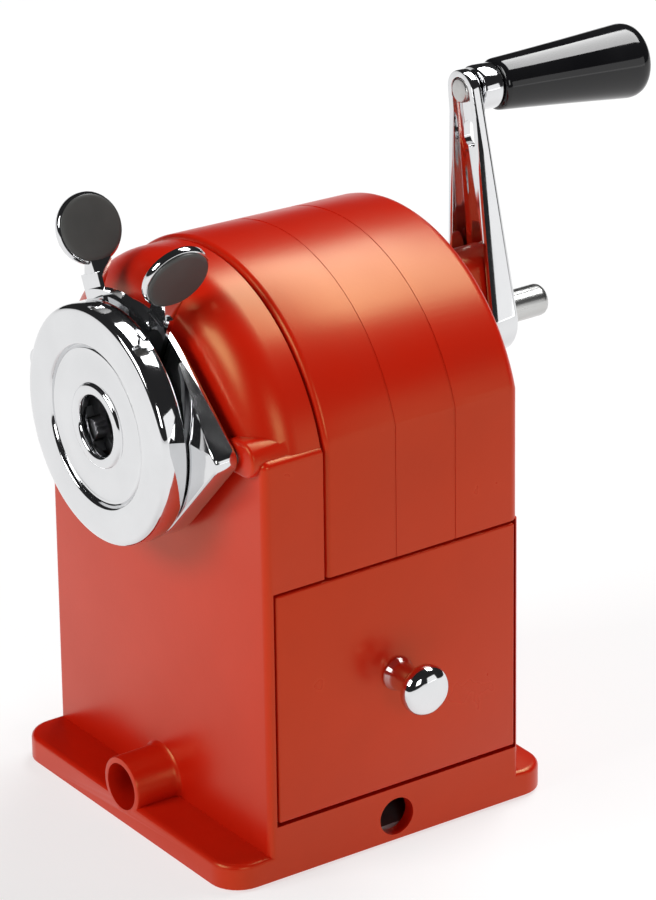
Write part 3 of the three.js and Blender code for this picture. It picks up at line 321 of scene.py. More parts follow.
def makeLook(name, look):
    material = bpy.data.materials.new(name)
    material.use_nodes = True
    nodes, link = material.node_tree.nodes, material.node_tree.links.new
    shader = nodes["Principled BSDF"]
    shader.inputs["Metallic"].default_value = look.get("metallic", 0)
    shader.inputs["Specular IOR Level"].default_value = look.get("specular", 0.5)
    shader.inputs["Specular Tint"].default_value = (*look.get("specularTint", (1, 1, 1)), 1)
    place = nodes.new("ShaderNodeTexCoord")
    centred = nodes.new("ShaderNodeMapping")
    centred.inputs["Location"].default_value = -bodyMiddle
    centred.inputs["Scale"].default_value = look.get("stretch", (1, 1, 1))
    link(place.outputs["Object"], centred.inputs["Vector"])
    surface = nodes.new("ShaderNodeGroup")
    surface.node_tree = breakup
    surface.inputs["Cloud Scale"].default_value = look["cloudScale"]
    surface.inputs["Grain Scale"].default_value = look["grainScale"]
    link(centred.outputs["Vector"], surface.inputs["Vector"])
    marks = nodes.new("ShaderNodeGroup")
    marks.node_tree = scratches
    link(centred.outputs["Vector"], marks.inputs["Vector"])

    tint = nodes.new("ShaderNodeMix")
    tint.data_type = "RGBA"
    tint.inputs[6].default_value = (*look["color"], 1)
    tint.inputs[7].default_value = (*look["worn"], 1)
    link(surface.outputs["Clouds"], tint.inputs["Factor"])
    link(tint.outputs[2], shader.inputs["Base Color"])

    low, high = look["roughness"]
    rough = nodes.new("ShaderNodeMapRange")
    rough.inputs["To Min"].default_value = low
    rough.inputs["To Max"].default_value = high
    mixed = nodes.new("ShaderNodeMath")
    mixed.operation = "MULTIPLY_ADD"
    mixed.inputs[1].default_value = look.get("scratched", 0.3)
    link(marks.outputs["Marks"], mixed.inputs[0])
    link(surface.outputs["Clouds"], mixed.inputs[2])
    link(mixed.outputs["Value"], rough.inputs["Value"])
    link(rough.outputs["Result"], shader.inputs["Roughness"])

    bump = nodes.new("ShaderNodeBump")
    bump.inputs["Strength"].default_value = look["bump"]
    bump.inputs["Distance"].default_value = look.get("bumpDepth", 0.02) * mm
    link(surface.outputs["Grain"], bump.inputs["Height"])
    link(bump.outputs["Normal"], shader.inputs["Normal"])
    return material


looks = {
    "redEnamel": {
        "slot": "red_paint", "color": (0.57, 0.011, 0.002), "worn": (0.52, 0.009, 0.002),
        "roughness": (0.27, 0.34), "specularTint": (1.0, 0.93, 0.38), "scratched": 0.0,
        "cloudScale": 35, "grainScale": 1500, "bump": 0.25, "bumpDepth": 0.03},
    "polishedChrome": {
        "slot": "chrome", "color": (0.76, 0.765, 0.775), "worn": (0.72, 0.725, 0.735),
        "roughness": (0.04, 0.09), "metallic": 1, "scratched": 0.4,
        "cloudScale": 90, "grainScale": 1200, "bump": 0.05},
    "turnedSteel": {
        "slot": "steel", "color": (0.62, 0.62, 0.61), "worn": (0.50, 0.50, 0.49),
        "roughness": (0.22, 0.38), "metallic": 1, "scratched": 0.5,
        "cloudScale": 150, "grainScale": 3000, "stretch": (1, 0.15, 1), "bump": 0.2},
    "hardSteel": {
        "slot": "hard_steel", "color": (0.58, 0.58, 0.60), "worn": (0.48, 0.48, 0.50),
        "roughness": (0.25, 0.42), "metallic": 1, "scratched": 0.5,
        "cloudScale": 200, "grainScale": 2500, "bump": 0.2},
    "dullZinc": {
        "slot": "zinc", "color": (0.50, 0.51, 0.52), "worn": (0.40, 0.41, 0.42),
        "roughness": (0.42, 0.60), "metallic": 1,
        "cloudScale": 120, "grainScale": 1800, "bump": 0.35, "bumpDepth": 0.04},
    "bushBrass": {
        "slot": "brass", "color": (0.66, 0.48, 0.20), "worn": (0.48, 0.34, 0.14),
        "roughness": (0.25, 0.40), "metallic": 1,
        "cloudScale": 150, "grainScale": 2500, "bump": 0.2},
    "blackPlastic": {
        "slot": "black_plastic", "color": (0.006, 0.006, 0.007), "worn": (0.010, 0.010, 0.011),
        "roughness": (0.05, 0.10), "specular": 0.45, "scratched": 0.5,
        "cloudScale": 60, "grainScale": 900, "bump": 0.03},
    "greyCap": {
        "slot": "dark_cap", "color": (0.048, 0.048, 0.045), "worn": (0.060, 0.060, 0.056),
        "roughness": (0.38, 0.50),
        "cloudScale": 120, "grainScale": 2200, "bump": 0.25},
    "footRubber": {
        "slot": "rubber", "color": (0.018, 0.018, 0.018), "worn": (0.035, 0.034, 0.033),
        "roughness": (0.75, 0.92),
        "cloudScale": 200, "grainScale": 1800, "bump": 0.5, "bumpDepth": 0.05},
}
materials = {look["slot"]: makeLook(name, look) for name, look in looks.items()}
for part in frame["record"]["subparts"]:
    for used in frame["nodes"][part["node"]].material_slots:
        used.material = materials[part["material_slot"]]
print("looks made")

# Casting: base flange, walls, domed front, shoulders with their lugs, clamp socket and rooms
cast = {"half": 36, "front": -28.4, "rear": 28.4, "bottom": 0.6, "wallTop": 58.6, "wallCorner": 1.5,
        "flangeFront": -flangeReach, "flangeRear": 35.8, "flangeTop": 5.6, "flangeCorner": 6,
        "flangeEdge": 1.1, "shoulder": 84.6, "shoulderRound": 2.6, "seam": -15.6,
        "domeRadius": 36.6, "domeCorner": 8.5}
lugSize = {"front": -29.9, "rear": -16.2, "outerX": 31.4, "outerZ": 84.3, "innerRadius": 3.3,
           "outerRadius": 3.4, "round": 0.7}
socketProfile = [(0, -37.6), (5.3, -37.6), (5.65, -37.5), (5.8, -37.1), (5.85, -29.3), (6.1, -28.7),
                 (6.6, -28.3), (6.8, -27), (0, -27)]
room = {"half": 33.5, "end": 25.9, "floor": 11.4, "back": -14, "frontTop": 82.1, "drawerTop": 60,
        "baseTop": 9.4, "domeRadius": 34.1, "domeCorner": 6, "domeBottom": 57,
        "mouthStart": 32, "mouthEnd": 25.6, "rebateStart": 33.3, "rebateFront": -26.8, "rebateRear": 27.6}
castBores = {
    "clampBore": {"axis": "Y", "radius": 4.6, "start": -40, "end": -24, "across": (0, clampZ), "sides": 48},
    "sideBore": {"axis": "X", "radius": 3.75, "start": 30, "end": 38, "across": (0, 5.4), "sides": 48},
    "guideBore": {"axis": "Y", "radius": 8.1, "start": -30, "end": -24, "across": (0, axisZ), "sides": 48},
    "rodBoreLeft": {"axis": "Y", "radius": 1.7, "start": -31, "end": -14, "across": (-rodX, rodZ),
                    "sides": 32},
    "rodBoreRight": {"axis": "Y", "radius": 1.7, "start": -31, "end": -14, "across": (rodX, rodZ),
                     "sides": 32},
}


def archSolid(name, half, bottom, radius, start, end):
    top = drum(name, "Y", radius, start, end, (0, archZ), roundSides)
    keepInside(top, block("limit", (-half, start - 1, archZ), (half, end + 1, archZ + radius + 1)))
    return hull(name, top, block("legs", (-half, start, bottom), (half, end, archZ)))


def domeSolid(name, radius, front, back, corner, steps=12):
    dome = drum(name, "Y", radius, front, back, (0, archZ), roundSides)
    return roundEdges(dome, corner, steps, onPlane("Y", front))


def makeFlange():
    c = cast
    flange = block("castBody", (-c["half"], c["flangeFront"], c["bottom"]),
                   (c["half"], c["flangeRear"], c["flangeTop"]))
    roundEdges(flange, c["flangeCorner"], 8, upright)
    return roundEdges(flange, c["flangeEdge"], 4, onPlane("Z", c["flangeTop"]))


def makeFrontWalls():
    c = cast
    onTop, onSeam = onPlane("Z", c["shoulder"]), onPlane("Y", c["seam"])
    walls = block("frontWalls", (-c["half"], c["front"], c["bottom"] + 1),
                  (c["half"], c["seam"], c["shoulder"]))
    roundEdges(walls, c["wallCorner"], 5, lambda a, b: upright(a, b) and not onSeam(a, b))
    return roundEdges(walls, c["shoulderRound"], 6, lambda a, b: onTop(a, b) and not onSeam(a, b))


def makeLug(side):
    s = lugSize
    inner = drum("inner", "Y", s["innerRadius"], s["front"], s["rear"], (side * rodX, rodZ), 48)
    outerLine = (side * s["outerX"], s["outerZ"])
    outer = drum("outer", "Y", s["outerRadius"], s["front"], s["rear"], outerLine, 48)
    return roundEdges(hull("lug", inner, outer), s["round"], 4, onPlane("Y", s["front"]))


def makeRooms():
    r = room
    low, high = (-r["half"], -r["end"], r["floor"]), (r["half"], r["end"])
    past = cast["half"] + 1
    return [
        keepInside(domeSolid("cutterRoom", r["domeRadius"], low[1], r["back"], r["domeCorner"], 6),
                   block("limit", (low[0], -27, r["domeBottom"]), (high[0], -13, 120))),
        block("frontRoom", low, (high[0], r["back"], r["frontTop"])),
        block("drawerRoom", low, (*high, r["drawerTop"])),
        block("drawerMouth", (r["mouthStart"], -r["mouthEnd"], r["floor"]),
              (past, r["mouthEnd"], cast["wallTop"])),
        block("panelRebate", (r["rebateStart"], r["rebateFront"], r["floor"]),
              (past, r["rebateRear"], cast["wallTop"])),
        block("baseRoom", (low[0], low[1], -1), (*high, r["baseTop"])),
    ]


def makeCasting():
    c = cast
    casting = makeFlange()
    walls = block("walls", (-c["half"], c["front"], c["bottom"] + 1),
                  (c["half"], c["rear"], c["wallTop"]))
    roundEdges(walls, c["wallCorner"], 5, upright)
    dome = domeSolid("dome", c["domeRadius"], c["front"], c["seam"], c["domeCorner"])
    keepInside(dome, block("limit", (-c["half"], c["front"] - 1, c["wallTop"]),
                           (c["half"], c["seam"] + 1, 120)))
    add(casting, walls, makeFrontWalls(), dome)
    for label, side in sides:
        add(casting, makeLug(side))
    socket = turned("socket", "Y", (0, clampZ), socketProfile, 64)
    add(casting, keepInside(socket, block("limit", (-12, -38, 1), (12, -26, 20))))
    cut(casting, *makeRooms())
    for name, bore in castBores.items():
        cut(casting, drum(name, **bore))
    return casting


finished(makeCasting(), "body", "red_paint", "housing", 34)
print("casting done")

# Arched cover with its lip at the seam and two fine grooves
cover = {"front": -15.0, "rear": 28.4, "bottom": 58.6, "radius": 37.4, "drop": 1.8, "half": 36, "wall": 2.2,
         "lip": 1.1, "rearRound": 2.2, "grooves": (0.2, 13.5), "grooveWidth": 0.5, "grooveDepth": 0.1,
         "grooveReach": 1.2}


def lowerRear(piece, radius):  # the roof falls a little towards the back
    spring = archZ + math.sqrt(cover["radius"] ** 2 - cover["half"] ** 2)
    for point in piece.data.vertices:
        here = (point.co - bodyMiddle) / mm
        if here.z > spring:
            rise = (here.z - spring) / (archZ + radius - spring)
            along = max(here.y - cover["front"], 0) / (cover["rear"] - cover["front"])
            point.co.z -= cover["drop"] * rise * along * mm
    return piece


def coverSolid(name, inset, footing, start, end):  # the cover's outer shape, drawn in by an inset
    radius = cover["radius"] - inset
    arch = archSolid(name, cover["half"] - inset, cover["bottom"] - footing, radius, start, end)
    return lowerRear(arch, radius)


def makeGroove(middle):
    c = cover
    start, end = middle - c["grooveWidth"] / 2, middle + c["grooveWidth"] / 2
    radius = c["radius"] + c["grooveReach"]
    band = lowerRear(archSolid("groove", c["half"] + 1, c["bottom"] - 2, radius, start, end), radius)
    return cut(band, coverSolid("core", c["grooveDepth"], 4, start - 1, end + 1))


def makeCover():
    c = cover
    shell = coverSolid("archCover", 0, 0, c["front"], c["rear"])
    for place, width, segments in ((c["front"], c["lip"], 4), (c["rear"], c["rearRound"], 6)):
        onEnd = onPlane("Y", place)
        roundEdges(shell, width, segments, lambda a, b: onEnd(a, b) and max(a.z, b.z) > c["bottom"] + 0.1)
    cut(shell, coverSolid("coverRoom", c["wall"], 5, c["front"] - 2, c["rear"] + 2))
    for middle in c["grooves"]:
        cut(shell, makeGroove(middle))
    return shell


finished(makeCover(), "body", "red_paint", "arch_cover", 34)
print("cover done")

# Back plate, its bearing boss and its screws
back = {"half": 33.5, "radius": 34.9, "bottom": 58.9, "front": 26.1, "rear": 28.1, "edge": 0.4,
        "bore": 5.7, "screwBore": 1.4, "screwCircle": 29, "screwAngles": (35, 90, 145)}
bearingProfile = [(0, 24.1), (11, 24.1), (11, 28.4), (10.9, 28.9), (10.3, 29.7), (9.8, 30.6), (9.5, 31.8),
                  (9.0, 36.7), (8.7, 37.2), (8.2, 37.4), (0, 37.4)]
backScrew = {"under": 28.15, "top": 29.6, "end": 20.3, "headRadius": 2.5, "shankRadius": 1.3,
             "slotHalf": 0.35, "slotDepth": 0.7}


def screwPlace(angle):
    turn = math.radians(angle)
    return back["screwCircle"] * math.cos(turn), archZ + back["screwCircle"] * math.sin(turn)


def makeBackScrew(name, across):
    s = backScrew
    head, shank, under, top = s["headRadius"], s["shankRadius"], s["under"], s["top"]
    screw = turned(name, "Y", across, [
        (0, s["end"]), (shank, s["end"]), (shank, under), (head, under), (head, under + 0.3),
        (head * 0.93, top - 0.35), (head * 0.7, top - 0.1), (0, top)], 32)
    x, z = across
    return cut(screw, block("slot", (x - 4, top - s["slotDepth"], z - s["slotHalf"]),
                            (x + 4, top + 1, z + s["slotHalf"])))


def makeBack():
    b = back
    plate = archSolid("backPlate", b["half"], b["bottom"], b["radius"], b["front"], b["rear"])
    lowerRear(plate, b["radius"])
    roundEdges(plate, b["edge"], 3, onPlane("Y", b["rear"]))
    add(plate, turned("bearing", "Y", (0, axisZ), bearingProfile, 72))
    cut(plate, drum("bore", "Y", b["bore"], 20, 40, (0, axisZ), 48))
    for angle in b["screwAngles"]:
        cut(plate, drum("screwHole", "Y", b["screwBore"], 24, 30, screwPlace(angle), 24))
    return plate


finished(makeBack(), "body", "red_paint", "rear_plate", 34)
for number, angle in enumerate(back["screwAngles"], 1):
    screw = makeBackScrew(f"backScrew{number}", screwPlace(angle))
    finished(screw, "body", "steel", f"rear_screw_{number}")
print("back done")

# Feet
footPlaces = ((-29, -30.6), (29, -30.6), (-29, 29.8), (29, 29.8))
footProfile = [(0, 0), (2.9, 0), (3.5, 0.1), (3.9, 0.45), (4, 0.8), (4, 2.0), (0, 2.0)]
for number, place in enumerate(footPlaces, 1):
    finished(turned(f"foot{number}", "Z", place, footProfile, 48), "body", "rubber", f"rubber_foot_{number}")

# Drawer: front panel, tray and knob
drawer = {"panelLow": (33.6, -26.25, 12.0), "panelHigh": (36, 27.2, 58.0), "edge": 0.45,
          "trayLow": (-32.5, -24.9, 12.1), "trayHigh": (33.6, 24.9, 54.1), "trayRound": 1.6,
          "roomLow": (-31.5, -23.9, 13.1), "roomHigh": (40, 23.9, 60), "roomRound": 0.8,
          "knobLine": (0.3, 35.1), "studRadius": 1.6}
knobProfile = [(0, 36.0), (3.1, 36.0), (3.3, 36.2), (3.25, 36.7), (2.8, 37.3), (2.7, 38.2), (2.7, 41.6),
               (2.9, 42.4), (3.5, 43.0), (4.3, 43.3), (4.75, 43.7), (4.9, 44.3), (4.88, 45.0), (4.6, 45.8),
               (4.0, 46.4), (3.0, 46.85), (1.6, 47.12), (0.7, 47.19), (0, 47.2)]


def makePanel():
    panel = block("drawerPanel", drawer["panelLow"], drawer["panelHigh"])
    roundEdges(panel, drawer["edge"], 3, lambda a, b: True)
    return cut(panel, drum("hole", "X", drawer["studRadius"], 30, 40, drawer["knobLine"], 32))


def makeTray():
    d = drawer
    onBottom, onFront = onPlane("Z", d["trayLow"][2]), onPlane("X", d["trayHigh"][0])

    def onCorner(a, b):  # the upright corners away from the panel
        return upright(a, b) and a.x < 0

    tray = block("drawerTray", d["trayLow"], d["trayHigh"])
    roundEdges(tray, d["trayRound"], 4, onCorner, lambda a, b: onBottom(a, b) and not onFront(a, b))
    inside = block("trayRoom", d["roomLow"], d["roomHigh"])
    roundEdges(inside, d["roomRound"], 3, onCorner, onPlane("Z", d["roomLow"][2]))
    return cut(tray, inside)


def makeKnob():
    knob = turned("drawerKnob", "X", drawer["knobLine"], knobProfile, 72)
    return cut(knob, drum("hole", "X", drawer["studRadius"], 34, 42, drawer["knobLine"], 32))


finished(makePanel(), "drawer", "red_paint", "drawer_front")
finished(makeTray(), "drawer", "zinc", "drawer_tray")
finished(makeKnob(), "drawer", "chrome", "drawer_knob", 50)
print("drawer done")

# Face disc: the lip of the hole, the dished face with one groove, the rim and the hollow back
discProfile = [
    (5.8, -39.9), (5.85, -40.5), (6.05, -40.8), (6.4, -40.92), (7.5, -40.92), (7.85, -40.8), (8.0, -40.5),
    (8.15, -40.34), (8.5, -40.36), (9.4, -40.48), (10.6, -40.42), (12.6, -40.2), (13.6, -40.12),
    (14.2, -40.25), (14.5, -40.4), (14.75, -40.3), (14.95, -39.9), (15.15, -39.85), (15.35, -40.5),
    (15.5, -40.88), (15.8, -41), (17.5, -41.0), (20.4, -41.0), (21.5, -40.95), (22.1, -40.8),
    (22.5, -40.45), (22.68, -39.9), (22.7, -39.3), (22.7, -36.1), (22.55, -35.8), (22.2, -35.7),
    (21.6, -35.7), (21.4, -35.9), (21.4, -38.6), (21.0, -38.8), (6.4, -38.8), (5.8, -38.9), (5.8, -39.9)]
finished(turned("faceDisc", "Y", (0, axisZ), discProfile, 160), "carriage", "chrome", "face_disc", 60)

# Carriage plate: an eye shape whose front slants back towards the top, open above for the levers
plateSize = {"front": -35.4, "rear": -30.4, "radius": 22.5, "ear": 2.6, "edge": 0.6, "sheet": 0.8,
             "backSheet": 1.6, "slantStart": 86, "slantEnd": 101, "slantDepth": 3.2, "roomRadius": 14,
             "roomHalf": 16, "roomTop": 97, "openingBottom": 98.1, "seatRadius": 21.2, "seatDepth": 1.4,
             "pencilHole": 6.4, "rodHole": 1.7, "rodHoleStart": 0.9}


def makePlateEye():
    p = plateSize
    middle = drum("round", "Y", p["radius"], p["front"], p["rear"], (0, axisZ), 128)
    ears = [drum(f"ear{label}", "Y", p["ear"], p["front"], p["rear"], (side * rodX, rodZ), 48)
            for label, side in sides]
    eye = hull("carriagePlate", middle, *ears)
    roundEdges(eye, p["edge"], 4, onPlane("Y", p["front"]))
    return roundEdges(eye, p["edge"], 3, onPlane("Y", p["rear"]))


def makePlate():
    p = plateSize
    plate = makePlateEye()
    inFront, behind = p["front"] + p["sheet"], p["rear"] - p["backSheet"]
    slantLow, slantHigh = p["slantStart"], p["slantEnd"]
    slant = hull("slant", block("low", (-40, -40, slantLow), (40, p["front"] + 0.01, slantLow + 0.1)),
                 block("high", (-40, -40, slantHigh), (40, p["front"] + p["slantDepth"], 110)))
    inside = hull("room", drum("round", "Y", p["roomRadius"], inFront, behind, (0, axisZ), 64),
                  block("high", (-p["roomHalf"], inFront, p["roomTop"]), (p["roomHalf"], behind, 110)))
    opening = block("topOpening", (-p["roomHalf"], p["front"] - 1, p["openingBottom"]),
                    (p["roomHalf"], behind, 120))
    seat = drum("discSeat", "Y", p["seatRadius"], p["front"] - 1, p["front"] + p["seatDepth"], (0, axisZ), 96)
    pencilHole = drum("pencilHole", "Y", p["pencilHole"], -40, -28, (0, axisZ), 48)
    cut(plate, slant, inside, opening, seat, pencilHole)
    rodStart = p["front"] + p["rodHoleStart"]
    for label, side in sides:
        cut(plate, drum("rodHole", "Y", p["rodHole"], rodStart, -28, (side * rodX, rodZ), 32))
    return plate


finished(makePlate(), "carriage", "chrome", "carriage_plate", 40)

# Guide rods, with the groove of the clip near their ends
rodProfile = [(0, -34.4), (1.4, -34.4), (1.6, -34.2), (1.6, 20.8), (1.2, 20.8), (1.2, 22.0), (1.6, 22.0),
              (1.6, 23.0), (1.2, 23.4), (0, 23.4)]
for label, side in sides:
    rod = turned(f"guideRod{label}", "Y", (side * rodX, rodZ), rodProfile, 40)
    finished(rod, "carriage", "steel", f"guide_rod_{label.lower()}")

# Jaws: three alike round the pencil's hole, each with two small notches at its tip
jawSize = {"front": -38.4, "rear": -36, "tip": 3.95, "soft": 0.12,
           "flank": ((2, 8.9), (2, 5.6), (1.5, 4.7), (0.9, 3.9), (0.45, 4.5)),
           "turns": {"top_jaw": 0, "right_jaw": 120, "left_jaw": 240}}


def makeJaw(name, degrees):
    j = jawSize
    left = [(-x, axisZ + z) for x, z in j["flank"]]
    right = [(x, axisZ + z) for x, z in reversed(j["flank"])]
    jaw = outlined(name, [*left, (0, axisZ + j["tip"]), *right], j["front"], j["rear"])
    return swing(soften(jaw, j["soft"]), degrees)


for number, (body, degrees) in enumerate(jawSize["turns"].items(), 1):
    finished(makeJaw(f"jaw{number}", degrees), body, "hard_steel", f"jaw_{number}")

# Return springs
returnSpring = {"wire": 0.4, "coil": 2.65, "turns": 13, "front": -15.4, "rear": 20.7, "anchor": -15.5,
                "keep": 0.22}


def makeSpring(name, x):  # wound round one guide rod, pressed together when the carriage is pulled out
    s = returnSpring
    clearAll()
    bpy.ops.mesh.primitive_circle_add(
        vertices=10, radius=s["wire"] * mm, location=(s["coil"] * mm, 0, 0), rotation=(math.pi / 2, 0, 0))
    bpy.ops.object.transform_apply(location=True, rotation=True, scale=True)
    spring = bpy.context.object
    winding = spring.modifiers.new("winding", "SCREW")
    winding.iterations = s["turns"]
    winding.screw_offset = (s["rear"] - s["front"] - 2 * s["wire"]) / s["turns"] * mm
    winding.steps = winding.render_steps = 20
    bpy.ops.object.modifier_apply(modifier=winding.name)
    bpy.ops.object.mode_set(mode="EDIT")
    bpy.ops.mesh.select_all(action="SELECT")
    bpy.ops.mesh.remove_doubles(threshold=0.001 * mm)
    bpy.ops.mesh.fill_holes(sides=0)
    bpy.ops.mesh.select_all(action="SELECT")
    bpy.ops.mesh.normals_make_consistent(inside=False)
    bpy.ops.object.mode_set(mode="OBJECT")
    spring.rotation_euler = axisTurn["Y"]
    spring.location = at(x, s["front"] + s["wire"], rodZ)
    return settle(name)


for label, side in sides:
    spring = makeSpring(f"returnSpring{label}", side * rodX)
    finished(spring, "body", "steel", f"return_spring_{label.lower()}", 60)
    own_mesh(spring)
print("carriage done")

# Pinch levers: ring, arm, twisted neck and round pad, with a band over the plate on the left one
leverSize = {"angle": 24, "reach": 35, "padY": -31.9, "sheet": 0.9, "soft": 0.15,
             "ring": (7.4, 12.4), "armHalf": 3, "armStart": 9.5, "armEnd": 27,
             "neckLow": (24, 25.4), "neckHalf": 2.4, "neckHigh": (28.5, 30.5), "neckThick": 0.8,
             "neckFront": 1.8, "neckRear": 2.6, "front": {"Left": -34.2, "Right": -33.05}}
padHalf = [(0, -0.8), (6.1, -0.8), (6.5, -0.7), (6.7, -0.4)]
padProfile = padHalf + [(radius, -along) for radius, along in reversed(padHalf)]
capProfile = [(0, 0.82), (6.1, 0.82), (6.2, 0.95), (6.15, 1.15), (5.9, 1.28), (5.3, 1.31), (0, 1.32)]
band = {"inner": 23.3, "outer": 24.3, "front": -35.3, "rear": -33.5, "reach": 32}
padLine = (leverSize["padY"], axisZ + leverSize["reach"])


def ringProfile(inner, outer, front, rear):
    return [(inner, front), (outer, front), (outer, rear), (inner, rear), (inner, front)]


def makeNeck(front, rear):  # from the flat arm to the upright pad
    s = leverSize
    (low, lowEnd), (high, highEnd) = s["neckLow"], s["neckHigh"]
    start = block("low", (-s["neckHalf"], front, axisZ + low), (s["neckHalf"], rear, axisZ + lowEnd))
    end = block("high", (-s["neckThick"], s["padY"] - s["neckFront"], axisZ + high),
                (s["neckThick"], s["padY"] + s["neckRear"], axisZ + highEnd))
    return hull("neck", start, end)


def makeBand():  # bent over the top of the plate
    b = band
    whole = turned("band", "Y", (0, axisZ), ringProfile(b["inner"], b["outer"], b["front"], b["rear"]), 128)
    return keepInside(whole, hull("reach", block("start", (-1, -36, axisZ), (1, -33, axisZ + 0.1)),
                                  block("end", (-1, -36, axisZ + 27), (b["reach"], -33, axisZ + 28))))


def makeLever(label, side):
    s = leverSize
    front = s["front"][label]
    rear = front + s["sheet"]
    lever = turned(f"lever{label}", "Y", (0, axisZ), ringProfile(*s["ring"], front, rear), 64)
    arm = block("arm", (-s["armHalf"], front, axisZ + s["armStart"]),
                (s["armHalf"], rear, axisZ + s["armEnd"]))
    add(lever, arm, makeNeck(front, rear), turned("pad", "X", padLine, padProfile, 96))
    if label == "Left":
        add(lever, makeBand())
    return swing(soften(lever, s["soft"]), side * s["angle"])


for label, side in sides:
    body = f"{label.lower()}_lever"
    finished(makeLever(label, side), body, "chrome", f"lever_{label.lower()}")
    cap = turned(f"leverCap{label}", "X", padLine, capProfile, 96)
    finished(swing(cap, side * leverSize["angle"]), body, "dark_cap", f"lever_cap_{label.lower()}")
print("levers done")

# Crank: channel arm, hub and spindle
crank = {"lean": -10.7, "turn": 43.3, "tilt": 3.6, "armFront": 48.3, "armRear": 49.7, "deep": 42.4,
         "shallow": 47.1, "bottom": 7.4, "top": 4, "wall": 1.3, "armRound": 0.9, "soft": 0.2,
         "slotLow": 34.3, "slotHigh": 35.7, "slotLowRadius": 2.0, "slotHighRadius": 1.8,
         "hubHole": 3.2, "pinHole": 2.1}
hubSize = {"front": 37.7, "rear": 48.0, "lowRadius": 5.7, "highRadius": 4.8, "rise": 9.2, "round": 0.8,
           "bore": 4.1}
collarProfile = [(0, 37.7), (6.7, 37.7), (7.1, 38.1), (7.1, 41.4), (6.8, 42.0), (6.2, 42.3), (0, 42.3)]
spindleProfile = [(0, 18.6), (3.7, 18.6), (4, 18.9), (4, 48.0), (3.1, 48.0), (3.1, 58.9), (3.0, 59.5),
                  (2.7, 59.95), (2.2, 60.15), (1.2, 60.2), (0, 60.2)]
handleLine = (0, axisZ + crank["turn"])


def armSolid(name, inset, start, end):
    c = crank
    return hull(name, drum("low", "Y", c["bottom"] - inset, start, end, (0, axisZ), 96),
                drum("high", "Y", c["top"] - inset, start, end, handleLine, 72))


def armHole(name, radius, across):
    return drum(name, "Y", radius, 44, 52, across, 40)


def makeArm():
    c = crank
    arm = armSolid("crankArm", 0, c["deep"], c["armRear"])
    roundEdges(arm, c["armRound"], 4, onPlane("Y", c["armRear"]))
    cut(arm, armSolid("channel", c["wall"], c["deep"] - 2, c["armFront"]))
    wedge = hull("wedge", block("low", (-9, 30, 70), (9, c["deep"] + 0.01, axisZ)),
                 block("high", (-9, 30, handleLine[1] - 4), (9, c["shallow"], 140)))
    soften(cut(arm, wedge), c["soft"], 45)
    slot = hull("slot", armHole("a", c["slotLowRadius"], (0, axisZ + c["slotLow"])),
                armHole("b", c["slotHighRadius"], (0, axisZ + c["slotHigh"])))
    cut(arm, slot, armHole("hubHole", c["hubHole"], (0, axisZ)), armHole("pinHole", c["pinHole"], handleLine))
    return swing(arm, c["lean"])


def makeHub():
    h = hubSize
    hub = hull("crankHub", drum("low", "Y", h["lowRadius"], h["front"], h["rear"], (0, axisZ), 72),
               drum("high", "Y", h["highRadius"], h["front"], h["rear"], (0, axisZ + h["rise"]), 64))
    roundEdges(hub, h["round"], 4, onPlane("Y", h["front"]), onPlane("Y", h["rear"]))
    add(hub, turned("collar", "Y", (0, axisZ), collarProfile, 72))
    cut(hub, drum("bore", "Y", h["bore"], 30, 55, (0, axisZ), 48))
    return swing(hub, crank["lean"])


finished(makeArm(), "crank", "chrome", "crank_arm", 40)
finished(makeHub(), "crank", "red_paint", "crank_hub")
finished(turned("spindle", "Y", (0, axisZ), spindleProfile, 64), "crank", "steel", "spindle")

# Handle: pin, ferrule and turning grip
pinProfile = [(0, 46.8), (1.6, 46.8), (2.1, 46.9), (2.35, 47.2), (2.4, 48.0), (2, 48.0), (2, 83.0), (0, 83.0)]
ferruleProfile = [(2.1, 50.0), (3.9, 50.0), (4.25, 50.15), (4.35, 50.5), (4.4, 53.9), (4.3, 54.25),
                  (4.1, 54.4), (2.1, 54.4), (2.1, 50.0)]
gripProfile = [(2.1, 54.7), (4.2, 54.7), (4.65, 54.85), (4.9, 55.2), (5.0, 55.9), (5.35, 61), (6.1, 71.2),
               (6.9, 81.2), (7.15, 84.2), (7.2, 85.1), (7.1, 86.0), (6.8, 86.8), (6.3, 87.35),
               (5.5, 87.75), (4.2, 88.05), (2.2, 88.2), (0, 88.25), (0, 83.3), (2.1, 83.3), (2.1, 54.7)]


def onHandle(name, profile, segments):  # the handle tips down a little from the arm
    piece = turned(name, "Y", handleLine, profile, segments)
    tip = Matrix.Rotation(math.radians(-crank["tilt"]), 4, "X")
    turnAbout(piece, at(0, crank["armRear"], handleLine[1]), tip)
    return swing(piece, crank["lean"])


finished(onHandle("handlePin", pinProfile, 48), "crank", "steel", "handle_pin")
finished(onHandle("handleFerrule", ferruleProfile, 72), "crank", "chrome", "handle_ferrule")
finished(onHandle("handleGrip", gripProfile, 96), "grip", "black_plastic", "handle_grip", 50)
print("crank done")

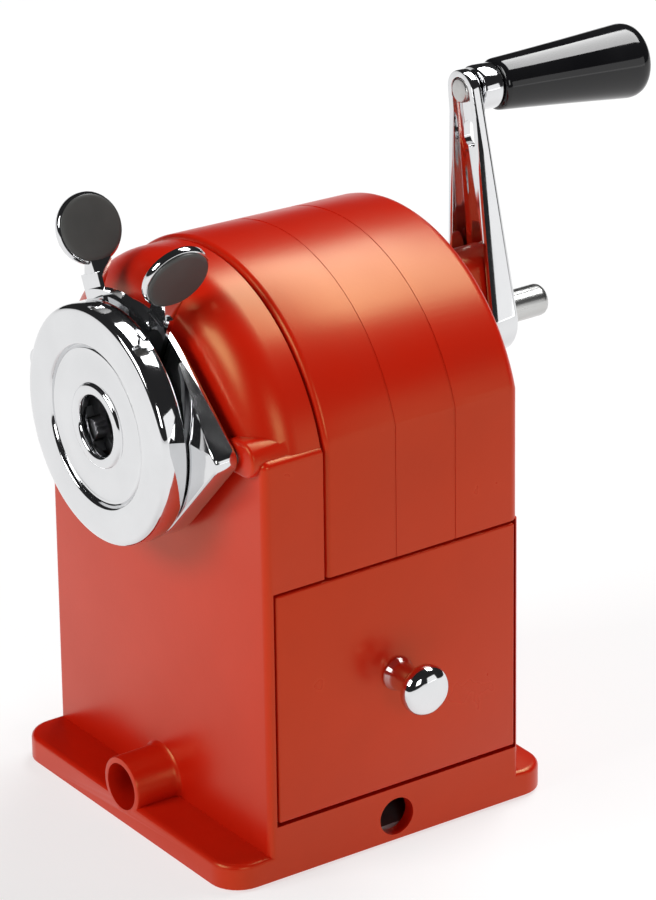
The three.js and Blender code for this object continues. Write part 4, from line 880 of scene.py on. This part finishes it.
# Floor, light and camera: the lamps and the camera's distance are in metres
clearAll()
bpy.ops.mesh.primitive_plane_add(size=8, location=(0, 0, 0))
floor = bpy.context.object
floor.name = "floor"
floorLook = bpy.data.materials.new("paleFloor")
floorLook.use_nodes = True
floorShader = floorLook.node_tree.nodes["Principled BSDF"]
floorShader.inputs["Base Color"].default_value = (0.35, 0.35, 0.35, 1)
floorShader.inputs["Roughness"].default_value = 0.9
floorShader.inputs["Specular IOR Level"].default_value = 0.1
floorShader.inputs["Emission Color"].default_value = (1, 1, 1, 1)
floorShader.inputs["Emission Strength"].default_value = 0.64
floor.data.materials.append(floorLook)

world = bpy.data.worlds.new("studio")
bpy.context.scene.world = world
world.use_nodes = True
world.node_tree.nodes["Background"].inputs["Color"].default_value = (0.022, 0.022, 0.023, 1)
world.node_tree.nodes["Background"].inputs["Strength"].default_value = 1.0

softboxes = {
    "keyBox": {"place": (-0.15, -1.3, 0.85), "size": (0.8, 0.6), "power": 13},
    "sideBox": {"place": (1.45, -0.35, 0.62), "size": (0.5, 0.5), "power": 4.5},
    "topBox": {"place": (-0.15, 0.74, 1.2), "size": (1.1, 0.52), "power": 19},
    "rightCard": {"place": (1.1, 0.68, 0.24), "size": (0.6, 0.5), "power": 1.0},
}
aim = Vector((0, 0, 0.06))
for name, box in softboxes.items():
    light = bpy.data.lights.new(name, "AREA")
    light.shape = "RECTANGLE"
    light.size, light.size_y = box["size"]
    light.energy = box["power"]
    lamp = bpy.data.objects.new(name, light)
    lamp.location = box["place"]
    lamp.rotation_euler = (aim - lamp.location).to_track_quat("-Z", "Y").to_euler()
    bpy.context.scene.collection.objects.link(lamp)

shot = {"azimuth": 55.37, "elevation": 24.28, "roll": -0.77, "distance": 0.82,
        "target": (156.52, -97.68, 150.0), "lens": 219.6}
camera = bpy.data.objects.new("camera", bpy.data.cameras.new("camera"))
bpy.context.scene.collection.objects.link(camera)
bpy.context.scene.camera = camera
camera.data.lens = shot["lens"]
camera.data.sensor_fit = "VERTICAL"
camera.data.sensor_height = 36
camera.data.clip_start = 0.01
azimuth, elevation, roll = [math.radians(shot[key]) for key in ("azimuth", "elevation", "roll")]
facing = Matrix.Rotation(azimuth, 4, "Z") @ Matrix.Rotation(math.pi / 2 - elevation, 4, "X")
turn = facing @ Matrix.Rotation(roll, 4, "Z")
backward = turn.to_3x3() @ Vector((0, 0, 1))
camera.matrix_world = Matrix.Translation(at(*shot["target"]) + backward * shot["distance"]) @ turn

scene = bpy.context.scene
scene.view_settings.view_transform = "Standard"
scene.view_settings.look = "None"
print("stage done")
